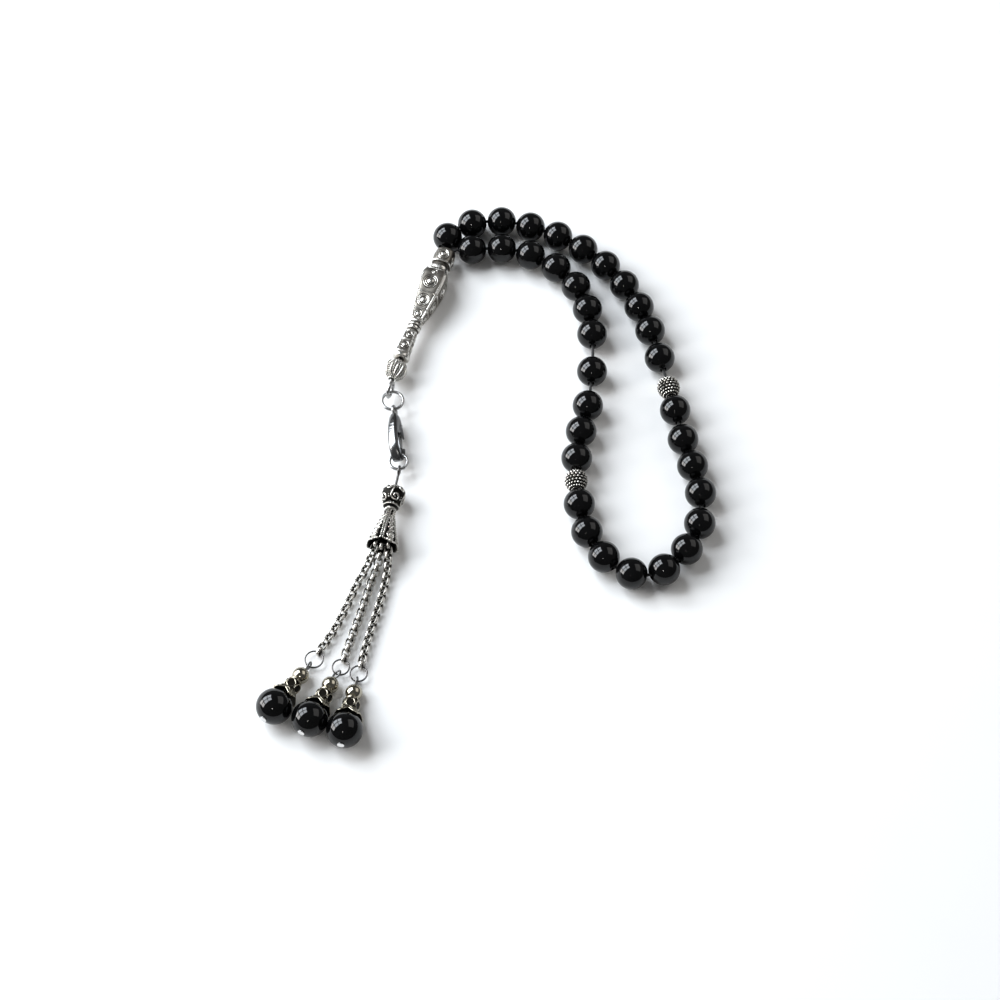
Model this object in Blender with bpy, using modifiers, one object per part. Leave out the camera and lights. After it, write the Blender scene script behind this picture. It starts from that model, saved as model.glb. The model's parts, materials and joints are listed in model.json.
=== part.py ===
"""Misbaha prayer beads, lying flat: a closed strand of beads on a cord, a leader bead and a three-chain tassel.

Metres, +Z up. The strand rests on the plane z = 0, and the origin is under the middle of the whole object.
"""

import math

import bmesh
import bpy
from mathutils import Matrix, Vector

MM = 0.001

# Beads on the strand
BEAD_R = 4.0 * MM
BORE_R = 0.95 * MM
BORE_MOUTH_R = 1.6 * MM
BORE_CHAMFER = 1.0 * MM
DIVIDER_R = 3.0 * MM
DIVIDER_HALF = 2.6 * MM
BEADS_PER_GROUP = 11
GROUPS = 3
TOUCH_GAP = 0.22 * MM
FIRST_BEAD_AT = 5.1 * MM
# Spare cord in front of a bead, by the bead's place in the strand (dividers count), first bead = 1
SLACK = {11: 0.9 * MM, 12: 2.9 * MM, 13: 0.3 * MM, 14: 0.9 * MM, 17: 0.7 * MM, 28: 2.6 * MM, 29: 3.8 * MM}

# Cord
CORD_R = 0.4 * MM
CORD_POINTS = 80
KNOT_R = 1.6 * MM

# The strand's route from the leader's mouth round to the mouth again, in millimetres, at the beads' height
ROUTE = [
    (-13.9, 68.2), (-13.4, 70.8), (-11.6, 73.2), (-7.6, 75.1), (1.2, 76.4), (9.8, 74.4),
    (17.6, 71.1), (24.3, 66.6), (30.3, 61.1), (34.9, 55.0), (38.4, 48.5), (41.1, 41.2), (43.7, 31.0),
    (45.8, 20.7), (47.3, 13.2), (48.8, 4.6), (50.8, -2.9), (52.5, -11.0), (51.9, -19.9), (48.0, -27.7),
    (42.4, -33.2), (38.2, -34.7), (33.8, -34.4), (29.9, -32.3), (26.7, -28.9), (23.1, -22.3), (21.4, -13.6),
    (20.8, -6.6), (21.2, 0.0), (22.3, 6.9), (24.2, 14.2), (25.7, 25.3), (26.1, 37.4), (25.1, 46.2),
    (22.0, 54.2), (16.9, 60.2), (10.4, 64.4), (2.3, 66.9), (-6.4, 66.4), (-10.6, 66.2),
]

# Leader bead, measured along its axis from its top
LEADER_TOP = Vector((-13.2 * MM, 65.6 * MM, 0.0))
LEADER_DIR = Vector((-0.318, -0.948, 0.0)).normalized()
LEADER_LENGTH = 37.6 * MM
LEADER_FLAT = 3.9 * MM
LEADER_Z = LEADER_FLAT
STRAND_OFFSET = 0.62 * MM
KNOT_DEPTH = 8.4 * MM
MELON_DEPTH = 41.2 * MM
MELON_R = 3.2 * MM
LEADER_PIN_END = 45.6 * MM
LEADER_EYE_R = 2.0 * MM
LEADER_EYE_TURN = math.radians(25.0)
LEADER_PIN_R = 0.5 * MM
LEADER_PIN_HEAD = (1.3 * MM, 12.2 * MM, 12.9 * MM)
LEADER_BALL_BORE_R = 0.8 * MM
# Outside and bore as (radius, depth) in millimetres: the mouth, the knot's chamber, and the pin's narrow bore
LEADER_OUTSIDE = [
    (2.6, 0.0), (3.2, 0.5), (3.3, 2.0), (3.2, 3.8), (2.5, 4.5), (2.5, 5.2), (3.7, 6.4), (4.3, 9.5),
    (4.35, 13.0), (4.0, 17.0), (3.2, 20.8), (2.2, 24.4), (1.7, 25.7), (2.1, 26.2), (2.1, 27.4),
    (1.7, 28.0), (1.9, 30.5), (2.3, 34.5), (2.6, 36.9), (2.3, 37.6),
]
LEADER_BORE = [(0.75, 37.6), (0.75, 15.0), (2.1, 13.6), (2.1, 6.8), (1.4, 5.6), (1.4, 1.2), (2.1, 0.0)]

# Rings, as (radius to the middle of the wire, wire radius)
JUMP_RING = (2.75 * MM, 0.42 * MM)
JUMP_RING_AT = Vector((-26.8, 17.1, 3.6)) * MM
TASSEL_RING = (2.3 * MM, 0.38 * MM)
TASSEL_RING_AT = Vector((-24.75, -1.5, 3.5)) * MM
DROP_RING = (1.95 * MM, 0.2 * MM)
DROP_RING_Z = 1.15 * MM

# Clasp: length runs from its fixed loop to its nose
CLASP_AT = Vector((-26.2, 14.0, 3.55)) * MM
CLASP_DIR = Vector((0.089, -0.996, 0.0)).normalized()
CLASP_ROLL = math.radians(20.0)
CLASP_HALF_T = 1.3 * MM
CLASP_LOOP = (1.2 * MM, 0.38 * MM)
# Outlines of its body, the body's opening and its lever, and the corners of two cuts, in millimetres
CLASP_EDGE = [
    (1.2, 0.9), (4.2, 2.5), (8.4, 3.2), (12.9, 2.6), (15.4, 0.0), (13.4, -2.5), (8.4, -3.1), (4.2, -2.4), (1.2, -0.9),
]
CLASP_OPENING = [
    (7.2, 0.0), (8.5, 1.6), (11.7, 1.7), (14.1, 0.9), (14.5, -0.1), (13.6, -1.2), (11.0, -1.6), (8.3, -1.2),
]
CLASP_ARM = [
    (2.8, -0.5), (3.0, -2.9), (3.9, -2.95), (4.8, -2.2), (7.8, -2.75), (10.7, -2.7), (10.7, -1.7), (7.8, -1.4),
    (5.7, -0.1), (3.9, 0.3),
]
CLASP_SLOT = ((2.4, -4.0, -0.75), (8.2, 0.9, 0.75))
CLASP_MOUTH = ((7.6, -4.0, -2.0), (11.0, -0.6, 2.0))
RIVET_AT = (4.6 * MM, -0.9 * MM)
RIVET_R = 0.4 * MM
RIVET_HALF = 1.28 * MM
RIVET_HOLE_R = 0.55 * MM
SPRING_R = 0.72 * MM
SPRING_WIRE_R = 0.05 * MM
SPRING_TURNS = 2
SPRING_LOW = 0.34 * MM
SPRING_HIGH = 0.6 * MM
LEVER_LOW = -0.62 * MM
LEVER_HIGH = 0.16 * MM

# Tassel head, measured along its pin from the centre of the pin's eye
HEAD_AT = Vector((-24.5, -4.07, 3.3)) * MM
HEAD_DIR = Vector((-0.159, -0.987, 0.04)).normalized()
HEAD_WIRE_R = 0.32 * MM
HEAD_EYE_R = 1.05 * MM
SCROLL_DEPTH = 7.9 * MM
SCROLL_R = 3.3 * MM
HEAD_BORE_R = 0.65 * MM
# The ball's collar, and the cone's outside and inside, as (radius, height or depth) in millimetres
SCROLL_COLLAR = [(2.2, -3.1), (2.2, -3.6)]
SCROLL_BALL_FOOT = -2.5 * MM
CONE_OUTSIDE = [(1.5, 11.8), (1.35, 13.0), (1.9, 15.4), (2.7, 18.4), (3.5, 21.0), (4.1, 22.9)]
CONE_INSIDE = [(3.65, 22.9), (3.05, 21.1), (2.3, 18.7), (1.4, 15.8), (0.65, 13.4), (0.65, 11.8)]
HANGER_R = 2.15 * MM
HANGER_DEPTH = 20.1 * MM

# Chains, each from the hanger loop to its ring, in millimetres
CHAIN_R = 1.0 * MM
LINK = (0.85 * MM, 0.22 * MM)
# How far each end link's centre stands outside the middle of the wire that it hangs on
FIRST_LINK_PAST = 0.2 * MM
LAST_LINK_PAST = 0.35 * MM
FAN = {"left": -40.0, "middle": 0.0, "right": 40.0}
CHAIN_ROUTES = {
    "left": [(-31.9, -31.0, 1.9), (-34.1, -35.4, 1.06), (-36.4, -41.4, 1.04), (-39.1, -47.8, 1.04)],
    "middle": [(-29.4, -31.2, 1.9), (-31.0, -36.2, 1.06), (-32.6, -42.4, 1.04), (-34.6, -49.2, 1.04)],
    "right": [(-26.7, -31.6, 1.9), (-27.5, -37.0, 1.06), (-29.1, -43.8, 1.04), (-31.0, -51.2, 1.04)],
}
CHAIN_STEPS = 14

# Drops: centre of the black ball, and the way from it to the centre of its ring
DROP_R = 4.4 * MM
DROP_BORE_R = 0.55 * MM
DROP_PIN_R = 0.3 * MM
DROP_EYE = (0.95 * MM, 0.25 * MM)
DROP_BALL_R = 2.1 * MM
DROP_BALL_AT = 10.9 * MM
DROP_CAP = [(1.9, 8.5), (1.7, 7.2), (2.6, 5.2), (3.4, 3.6)]
DROP_CAP_HEM_R = 3.1 * MM
DROP_SEAT_GAP = 0.15 * MM
DROP_FOOT_R = 0.8 * MM
DROP_FOOT_HEIGHT = 0.35 * MM
DROP_EYE_AT = 14.4 * MM
DROPS = {"left": (-52.4, -70.2), "middle": (-43.8, -73.4), "right": (-35.4, -76.2)}
DROP_RINGS = {"left": (-43.9, -56.4), "middle": (-37.3, -58.5), "right": (-32.9, -60.2)}
EYE_ROLL = {"left": 0.0, "middle": -45.0, "right": 0.0}

STEPS = 12
FINE_STEPS = 16
PIVOT_SIZE = 3.0 * MM
UP = Vector((0.0, 0.0, 1.0))

# Colour, roughness and metallic value of each material
FINISHES = {
    "onyx": ((0.008, 0.008, 0.009), 0.08, 0.0),
    "cord": ((0.012, 0.012, 0.013), 0.85, 0.0),
    "silver": ((0.62, 0.60, 0.56), 0.3, 1.0),
    "gunmetal": ((0.22, 0.21, 0.20), 0.38, 1.0),
    "pewter": ((0.42, 0.39, 0.33), 0.3, 1.0),
}


def clear_scene():
    for obj in list(bpy.data.objects):
        bpy.data.objects.remove(obj, do_unlink=True)


def collection(name):
    group = bpy.data.collections.new(name)
    bpy.context.scene.collection.children.link(group)
    return group


def material(name):
    colour, roughness, metallic = FINISHES[name]
    mat = bpy.data.materials.new(name)
    mat.use_nodes = True
    shader = mat.node_tree.nodes["Principled BSDF"]
    shader.inputs["Base Color"].default_value = (*colour, 1.0)
    shader.inputs["Roughness"].default_value = roughness
    shader.inputs["Metallic"].default_value = metallic
    return mat


clear_scene()
PARTS = collection("misbaha")
CUTTERS = collection("cutters")
MATERIALS = {name: material(name) for name in FINISHES}


def add(name, mesh, finish, matrix):
    obj = bpy.data.objects.new(name, mesh)
    obj.matrix_world = matrix
    PARTS.objects.link(obj)
    obj.data.materials.append(MATERIALS[finish])
    return obj


def as_cutter(obj):
    for group in list(obj.users_collection):
        group.objects.unlink(obj)
    CUTTERS.objects.link(obj)
    obj.hide_render = True
    obj.display_type = "WIRE"
    return obj


def frame(at, along):
    """A matrix whose Z runs along a direction, and whose X points as far up as it can."""
    z = along.normalized()
    x = (UP - UP.dot(z) * z).normalized()
    y = z.cross(x)
    return Matrix.Translation(at) @ Matrix((x, y, z)).transposed().to_4x4()


def attach(child, parent):
    bpy.context.view_layer.update()
    child.parent = parent
    child.matrix_parent_inverse = parent.matrix_world.inverted()


def pivot(name, at, axis, pieces, on=None):
    """An empty on a joint's axis, its Z along the axis, that carries the pieces which move together."""
    empty = bpy.data.objects.new(f"{name}_pivot", None)
    empty.empty_display_size = PIVOT_SIZE
    tilt = axis.normalized()
    empty.matrix_world = Matrix.Translation(at) @ UP.rotation_difference(tilt).to_matrix().to_4x4()
    PARTS.objects.link(empty)
    for piece in pieces:
        attach(bpy.data.objects[piece], empty)
    if on:
        attach(empty, bpy.data.objects[f"{on}_pivot"])


def turned(name, outline, finish, matrix, steps=STEPS, closed=True):
    """A turned piece: outline is (radius, height) points from top to bottom outside, then back up any bore."""
    mesh = bpy.data.meshes.new(name)
    bm = bmesh.new()
    verts = [bm.verts.new((radius, 0.0, height)) for radius, height in outline]
    pairs = list(zip(verts, verts[1:]))
    if closed:
        pairs.append((verts[-1], verts[0]))
    for pair in pairs:
        bm.edges.new(pair)
    bm.to_mesh(mesh)
    bm.free()
    obj = add(name, mesh, finish, matrix)
    screw = obj.modifiers.new("turn", "SCREW")
    screw.axis = "Z"
    screw.angle = math.tau
    screw.steps = steps
    screw.render_steps = steps
    screw.use_merge_vertices = True
    screw.merge_threshold = 1e-6
    screw.use_smooth_shade = True
    return obj


def arc(radius, start, end, count, centre=0.0):
    """Points on a circle about the axis point at a height, from one angle above the equator to another."""
    points = []
    for i in range(count + 1):
        angle = math.radians(start + (end - start) * i / count)
        points.append((radius * math.cos(angle), centre + radius * math.sin(angle)))
    return points


def bored_ball(radius, bore, count):
    mouth = math.degrees(math.acos(bore / radius))
    return arc(radius, mouth, -mouth, count)


def torus(name, ring, finish, matrix, around=20, across=8):
    outline = []
    for i in range(across):
        angle = -math.tau * i / across
        outline.append((ring[0] + ring[1] * math.cos(angle), ring[1] * math.sin(angle)))
    return turned(name, outline, finish, matrix, steps=around)


def evaluated_copy(obj):
    """A plain mesh object in place of a curve, with its loose caps welded."""
    bpy.context.view_layer.update()
    graph = bpy.context.evaluated_depsgraph_get()
    mesh = bpy.data.meshes.new_from_object(obj.evaluated_get(graph))
    bm = bmesh.new()
    bm.from_mesh(mesh)
    bmesh.ops.remove_doubles(bm, verts=bm.verts, dist=1e-7)
    bmesh.ops.recalc_face_normals(bm, faces=bm.faces)
    bm.to_mesh(mesh)
    bm.free()
    name, matrix = obj.name, obj.matrix_world.copy()
    bpy.data.objects.remove(obj, do_unlink=True)
    copy = bpy.data.objects.new(name, mesh)
    copy.matrix_world = matrix
    PARTS.objects.link(copy)
    return copy


def tube(name, points, radius, finish, resolution=2):
    curve = bpy.data.curves.new(name, "CURVE")
    curve.dimensions = "3D"
    curve.bevel_depth = radius
    curve.bevel_resolution = resolution
    curve.use_fill_caps = True
    spline = curve.splines.new("POLY")
    spline.points.add(len(points) - 1)
    for slot, point in zip(spline.points, points):
        slot.co = (*point, 1.0)
    obj = bpy.data.objects.new(name, curve)
    PARTS.objects.link(obj)
    obj.data.materials.append(MATERIALS[finish])
    return obj


def plate(name, outlines, low, high, finish, matrix, corners="AUTO"):
    """A flat piece: closed outlines (the first is the edge, the others are holes) between two heights."""
    curve = bpy.data.curves.new(name, "CURVE")
    curve.dimensions = "2D"
    curve.fill_mode = "BOTH"
    curve.extrude = (high - low) / 2
    curve.resolution_u = 3
    for outline in outlines:
        spline = curve.splines.new("BEZIER")
        spline.bezier_points.add(len(outline) - 1)
        spline.use_cyclic_u = True
        for slot, (x, y) in zip(spline.bezier_points, outline):
            slot.co = (x * MM, y * MM, 0.0)
            slot.handle_left_type = corners
            slot.handle_right_type = corners
    obj = bpy.data.objects.new(name, curve)
    obj.matrix_world = matrix @ Matrix.Translation((0.0, 0.0, (low + high) / 2))
    PARTS.objects.link(obj)
    obj.data.materials.append(MATERIALS[finish])
    return evaluated_copy(obj)


def box(name, low, high, matrix):
    """A block between two corners given in millimetres."""
    bm = bmesh.new()
    bmesh.ops.create_cube(bm, size=1.0)
    mesh = bpy.data.meshes.new(name)
    bm.to_mesh(mesh)
    bm.free()
    middle = [(a + b) / 2 * MM for a, b in zip(low, high)]
    size = [(b - a) * MM for a, b in zip(low, high)]
    return add(name, mesh, "silver", matrix @ Matrix.Translation(middle) @ Matrix.Diagonal((*size, 1.0)))


def boolean(obj, other, operation):
    modifier = obj.modifiers.new(operation.lower(), "BOOLEAN")
    modifier.operation = operation
    modifier.object = as_cutter(other)
    modifier.solver = "EXACT"


def smooth_curve(knots, per_span):
    """Points on a centripetal Catmull-Rom curve through the knots."""
    ends = [2 * knots[0] - knots[1], *knots, 2 * knots[-1] - knots[-2]]
    points = []
    for a, b, c, d in zip(ends, ends[1:], ends[2:], ends[3:]):
        t1 = (b - a).length ** 0.5
        t2 = t1 + (c - b).length ** 0.5
        t3 = t2 + (d - c).length ** 0.5
        for i in range(per_span):
            t = t1 + (t2 - t1) * i / per_span
            ab = a.lerp(b, t / t1)
            bc = b.lerp(c, (t - t1) / (t2 - t1))
            cd = c.lerp(d, (t - t2) / (t3 - t2))
            abc = ab.lerp(bc, t / t2)
            bcd = bc.lerp(cd, (t - t1) / (t3 - t1))
            points.append(abc.lerp(bcd, (t - t1) / (t2 - t1)))
    return [*points, knots[-1].copy()]


class Path:
    """A dense curve read by the distance along it."""

    def __init__(self, knots, per_span=40):
        self.points = smooth_curve(knots, per_span)
        self.reach = [0.0]
        for a, b in zip(self.points, self.points[1:]):
            self.reach.append(self.reach[-1] + (b - a).length)
        self.length = self.reach[-1]

    def at(self, distance):
        distance = min(max(distance, 0.0), self.length)
        low, high = 0, len(self.reach) - 1
        while high - low > 1:
            middle = (low + high) // 2
            if self.reach[middle] > distance:
                high = middle
            else:
                low = middle
        share = (distance - self.reach[low]) / (self.reach[high] - self.reach[low])
        return self.points[low].lerp(self.points[high], share)

    def spaced(self, count):
        return [self.at(self.length * i / (count - 1)) for i in range(count)]


def strand_path():
    """The cord from the knot, out of the leader, round the strand, and back to the knot."""
    side = LEADER_DIR.cross(UP) * -1
    knot = LEADER_TOP + LEADER_DIR * KNOT_DEPTH
    out = [LEADER_TOP + LEADER_DIR * depth - side * STRAND_OFFSET * share
           for depth, share in ((KNOT_DEPTH, 0.6), (4.0 * MM, 1.0), (1.2 * MM, 1.0))]
    back = [LEADER_TOP + LEADER_DIR * depth + side * STRAND_OFFSET * share
            for depth, share in ((1.2 * MM, 1.0), (4.0 * MM, 1.0), (KNOT_DEPTH, 0.6))]
    around = [Vector((x * MM, y * MM, 0.0)) for x, y in ROUTE]
    knots = [*out, *around, *back]
    rise = [LEADER_Z] * 3 + [BEAD_R] * len(around) + [LEADER_Z] * 3
    return knot, Path([k + UP * z for k, z in zip(knots, rise)])


def seat(path, distance, half):
    """The middle and the direction of a straight bore that fits the path best at a distance along it."""
    before = path.at(distance - half * 0.7)
    after = path.at(distance + half * 0.7)
    middle = (before + after + path.at(distance) * 2) / 4
    return middle, (after - before).normalized()


def next_seat(path, distance, centre, pitch, half):
    """The distance along the path where a bead stands a pitch away from the bead before it."""
    while True:
        distance += 0.01 * MM
        if (seat(path, distance, half)[0] - centre).length >= pitch:
            return distance


def build_strand():
    knot, path = strand_path()
    cord = evaluated_copy(tube("cord", path.spaced(CORD_POINTS), CORD_R, "cord"))
    lump = turned("cord_knot", arc(KNOT_R, 90, -90, 8), "cord", frame(knot + UP * LEADER_Z, LEADER_DIR),
                  closed=False)
    boolean(cord, lump, "UNION")

    bead = bored_ball(BEAD_R, BORE_MOUTH_R, 6)
    depth = bead[0][1] - BORE_CHAMFER
    bead += [(BORE_R, -depth), (BORE_R, depth)]
    divider = [(BORE_R + 0.5 * MM, DIVIDER_HALF), *arc(DIVIDER_R, 45, -45, 4), (BORE_R + 0.5 * MM, -DIVIDER_HALF),
               (BORE_R, -DIVIDER_HALF), (BORE_R, DIVIDER_HALF)]
    distance = FIRST_BEAD_AT + KNOT_DEPTH
    centre, before, place = None, 0.0, 0
    for group in range(GROUPS):
        for number in range(BEADS_PER_GROUP + (group < GROUPS - 1)):
            is_divider = number == BEADS_PER_GROUP
            half = DIVIDER_HALF if is_divider else BEAD_R
            place += 1
            if centre is not None:
                pitch = before + half + TOUCH_GAP + SLACK.get(place, 0.0)
                distance = next_seat(path, distance, centre, pitch, half)
            centre, along = seat(path, distance, half)
            centre = Vector((centre.x, centre.y, DIVIDER_R if is_divider else BEAD_R))
            along = Vector((along.x, along.y, 0.0)).normalized()
            if is_divider:
                turned(f"divider_{group + 1}", divider, "gunmetal", frame(Vector((*centre.xy, BEAD_R)), along))
            else:
                turned(f"bead_{group * BEADS_PER_GROUP + number + 1:02d}", bead, "onyx", frame(centre, along))
            centre = Vector((centre.x, centre.y, BEAD_R))
            before = half


def along_leader(depth):
    return LEADER_TOP + LEADER_DIR * depth + UP * LEADER_Z


def leader_eye():
    """The centre of the pin's eye, and the way it hangs: it is turned a little from the leader's axis."""
    hang = Matrix.Rotation(LEADER_EYE_TURN, 3, "Z") @ LEADER_DIR
    return along_leader(LEADER_PIN_END) + hang * LEADER_EYE_R, hang


def build_leader():
    """The leader bead, with its two-strand mouth, knot chamber and narrow lower bore."""
    axis = frame(along_leader(0.0), -LEADER_DIR)
    outline = [(radius * MM, -depth * MM) for radius, depth in LEADER_OUTSIDE + LEADER_BORE]
    leader = turned("leader_bead", outline, "silver", axis, steps=FINE_STEPS)
    flat, length = LEADER_FLAT / MM, LEADER_LENGTH / MM
    faces = box("leader_faces", (-flat, -flat, -length - 1.0), (flat, flat, 1.0), axis)
    boolean(leader, faces, "INTERSECT")

    turned("leader_ball", bored_ball(MELON_R, LEADER_BALL_BORE_R, 8), "silver",
           frame(along_leader(MELON_DEPTH), -LEADER_DIR), steps=FINE_STEPS)

    head_r, head_top, head_foot = LEADER_PIN_HEAD
    pin = [(0.0, -head_top), (head_r, -head_top), (head_r, -head_foot), (LEADER_PIN_R, -head_foot),
           (LEADER_PIN_R, -LEADER_PIN_END), (0.0, -LEADER_PIN_END)]
    shank = turned("leader_pin", pin, "silver", axis, closed=False)
    centre, hang = leader_eye()
    eye = torus("leader_eye", (LEADER_EYE_R, LEADER_PIN_R), "silver",
                frame(centre, hang.cross(UP)), around=18)
    boolean(shank, eye, "UNION")


def build_ring(name, ring, at, finish, towards, on=None):
    """A closed ring, lying level, that turns about the point of its wire that is nearest to what holds it."""
    torus(name, ring, finish, Matrix.Translation(at))
    level = towards - at
    level.z = 0.0
    pivot(name, at + level.normalized() * ring[0], UP, [name], on)


def clasp_frame():
    """Local X along the clasp, Y towards its spine, Z square to its broad face."""
    x = CLASP_DIR
    side = x.cross(UP)
    z = (side * math.cos(CLASP_ROLL) - UP * math.sin(CLASP_ROLL)).normalized()
    y = z.cross(x)
    return Matrix.Translation(CLASP_AT) @ Matrix((x, y, z)).transposed().to_4x4()


def rod(name, x, y, radius, low, high, finish, matrix, steps=STEPS):
    outline = [(0.0, high), (radius, high), (radius, low), (0.0, low)]
    return turned(name, outline, finish, matrix @ Matrix.Translation((x, y, 0.0)), steps=steps, closed=False)


def build_clasp():
    matrix = clasp_frame()
    body = plate("clasp_body", [CLASP_EDGE, CLASP_OPENING], -CLASP_HALF_T, CLASP_HALF_T, "silver", matrix)
    boolean(body, torus("clasp_loop", CLASP_LOOP, "silver", matrix, around=16), "UNION")
    boolean(body, box("clasp_slot", *CLASP_SLOT, matrix), "DIFFERENCE")
    boolean(body, box("clasp_mouth", *CLASP_MOUTH, matrix), "DIFFERENCE")
    through = 2 * CLASP_HALF_T
    boolean(body, rod("clasp_hole", *RIVET_AT, RIVET_HOLE_R, -through, through, "silver", matrix), "DIFFERENCE")

    lever = plate("clasp_lever", [CLASP_ARM], LEVER_LOW, LEVER_HIGH, "silver", matrix, corners="VECTOR")
    boolean(lever, rod("lever_hole", *RIVET_AT, RIVET_HOLE_R, -through, through, "silver", matrix), "DIFFERENCE")
    rod("clasp_rivet", *RIVET_AT, RIVET_R, -RIVET_HALF, RIVET_HALF, "silver", matrix)

    per_turn = 9
    count = SPRING_TURNS * per_turn
    coil = []
    for i in range(count + 1):
        angle = math.tau * i / per_turn
        rise = SPRING_LOW + (SPRING_HIGH - SPRING_LOW) * i / count
        coil.append(matrix @ Vector((RIVET_AT[0] + SPRING_R * math.cos(angle),
                                     RIVET_AT[1] + SPRING_R * math.sin(angle), rise)))
    tube("clasp_spring", coil, SPRING_WIRE_R, "silver", resolution=1)

    pivot("clasp", CLASP_AT, UP, ["clasp_body", "clasp_rivet", "clasp_spring"], on="jump_ring")
    pivot("clasp_lever", matrix @ Vector((*RIVET_AT, 0.0)), matrix.col[2].xyz, ["clasp_lever"], on="clasp")


def along_head(depth):
    return HEAD_AT + HEAD_DIR * depth


def build_tassel_head():
    axis = frame(HEAD_AT, -HEAD_DIR)
    start, end = HEAD_EYE_R, HANGER_DEPTH - HANGER_R
    wire = [(0.0, -start), (HEAD_WIRE_R, -start), (HEAD_WIRE_R, -end), (0.0, -end)]
    pin = turned("tassel_pin", wire, "gunmetal", axis, closed=False)
    side = HEAD_DIR.cross(UP).normalized()
    eye = torus("tassel_eye", (HEAD_EYE_R, HEAD_WIRE_R), "gunmetal", frame(HEAD_AT, side), around=14)
    hanger = torus("tassel_hanger", (HANGER_R, HEAD_WIRE_R), "gunmetal",
                   frame(along_head(HANGER_DEPTH), side.cross(HEAD_DIR)), around=22)
    boolean(pin, eye, "UNION")
    boolean(pin, hanger, "UNION")

    pivot("tassel_head", HEAD_AT, UP, ["tassel_pin"], on="tassel_ring")

    ball = [point for point in bored_ball(SCROLL_R, HEAD_BORE_R, 9) if point[1] > SCROLL_BALL_FOOT]
    collar = [(radius * MM, height * MM) for radius, height in SCROLL_COLLAR]
    bore = [(HEAD_BORE_R, collar[-1][1]), (HEAD_BORE_R, ball[0][1])]
    turned("scroll_ball", [*ball, *collar, *bore], "gunmetal", frame(along_head(SCROLL_DEPTH), -HEAD_DIR),
           steps=FINE_STEPS)
    turned("cone_cap", [(radius * MM, -depth * MM) for radius, depth in CONE_OUTSIDE + CONE_INSIDE], "gunmetal",
           axis, steps=FINE_STEPS)
    for piece in ("scroll_ball", "cone_cap"):
        attach(bpy.data.objects[piece], bpy.data.objects["tassel_head_pivot"])


def swing_axis(side, way):
    """The outer chains swing level, and the middle one lifts."""
    return way.cross(UP) if side == "middle" else UP


def build_chain(side):
    """One chain as a bar along its route, with the loop of its first and last links."""
    fan = math.radians(FAN[side])
    out = (Matrix.Rotation(fan, 3, "Z") @ HEAD_DIR).normalized()
    level = Vector((out.x, out.y, 0.0)).normalized()
    top = along_head(HANGER_DEPTH) + level * (HANGER_R + FIRST_LINK_PAST)
    start = top + level * LINK[0]
    ring = Vector((*DROP_RINGS[side], 0.0)) * MM + UP * DROP_RING_Z
    route = [Vector(point) * MM for point in CHAIN_ROUTES[side]]
    last = route[-1] - ring
    last.z = 0.0
    last.normalize()
    bottom = ring + last * (DROP_RING[0] + LAST_LINK_PAST)
    path = Path([start, *route, bottom + last * LINK[0]], per_span=20)
    bar = evaluated_copy(tube(f"chain_{side}", path.spaced(CHAIN_STEPS), CHAIN_R, "gunmetal"))
    for name, at, along in (("first", top, level), ("last", bottom, last)):
        link = torus(f"chain_{side}_{name}", LINK, "gunmetal", frame(at, along.cross(UP)), around=12, across=6)
        boolean(bar, link, "UNION")
    pivot(f"chain_{side}", top, swing_axis(side, level), [f"chain_{side}"], on="tassel_head")

    torus(f"drop_ring_{side}", DROP_RING, "gunmetal", Matrix.Translation(ring), around=24, across=6)
    pivot(f"drop_ring_{side}", bottom, swing_axis(side, -last), [f"drop_ring_{side}"], on=f"chain_{side}")


def build_drop(side):
    centre = Vector((*DROPS[side], 0.0)) * MM + UP * DROP_R
    ring = Vector((*DROP_RINGS[side], 0.0)) * MM + UP * DROP_RING_Z
    level = ring - centre
    level.z = 0.0
    fall = math.asin((DROP_R - DROP_BALL_R) / DROP_BALL_AT)
    along = level.normalized() * math.cos(fall) - UP * math.sin(fall)
    turned(f"drop_ball_{side}", bored_ball(DROP_R, DROP_BORE_R, 9), "onyx", frame(centre, along),
           steps=FINE_STEPS)

    seat_r = DROP_R + DROP_SEAT_GAP
    rim = math.degrees(math.acos(DROP_CAP_HEM_R / seat_r))
    neck = math.degrees(math.acos(DROP_PIN_R / seat_r))
    stem_end = DROP_EYE_AT - DROP_EYE[0]
    foot = -seat_r - DROP_FOOT_HEIGHT
    outline = [(0.0, stem_end), (DROP_PIN_R, stem_end), *arc(DROP_BALL_R, 82, -60, 7, centre=DROP_BALL_AT),
               *[(radius * MM, height * MM) for radius, height in DROP_CAP], *arc(seat_r, rim, neck, 3),
               (DROP_PIN_R, -seat_r), (DROP_FOOT_R, -seat_r), (DROP_FOOT_R, foot), (0.0, foot)]
    finial = turned(f"drop_finial_{side}", outline, "pewter", frame(centre, along), closed=False)
    at = centre + along * DROP_EYE_AT
    across = Matrix.Rotation(math.radians(EYE_ROLL[side]), 3, along) @ along.cross(UP)
    eye = torus(f"drop_eye_{side}", DROP_EYE, "pewter", frame(at, across), around=14, across=6)
    boolean(finial, eye, "UNION")
    pivot(f"drop_{side}", at, swing_axis(side, -level.normalized()), [f"drop_finial_{side}", f"drop_ball_{side}"],
          on=f"drop_ring_{side}")


def main():
    build_strand()
    build_leader()
    build_ring("jump_ring", JUMP_RING, JUMP_RING_AT, "silver", leader_eye()[0])
    build_clasp()
    build_ring("tassel_ring", TASSEL_RING, TASSEL_RING_AT, "gunmetal", CLASP_AT, on="clasp")
    build_tassel_head()
    for side in DROPS:
        build_chain(side)
        build_drop(side)


main()
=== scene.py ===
"""Looks for the misbaha prayer beads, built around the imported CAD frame.

The frame is in metres, +Z up, with the floor at z = 0. Shapes below are in millimetres, in each piece's own
frame, and a Form turns them into a mesh in metres.
"""

import json
import math

import bmesh
import bpy
import numpy as np
from mathutils import Matrix, Vector


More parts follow.
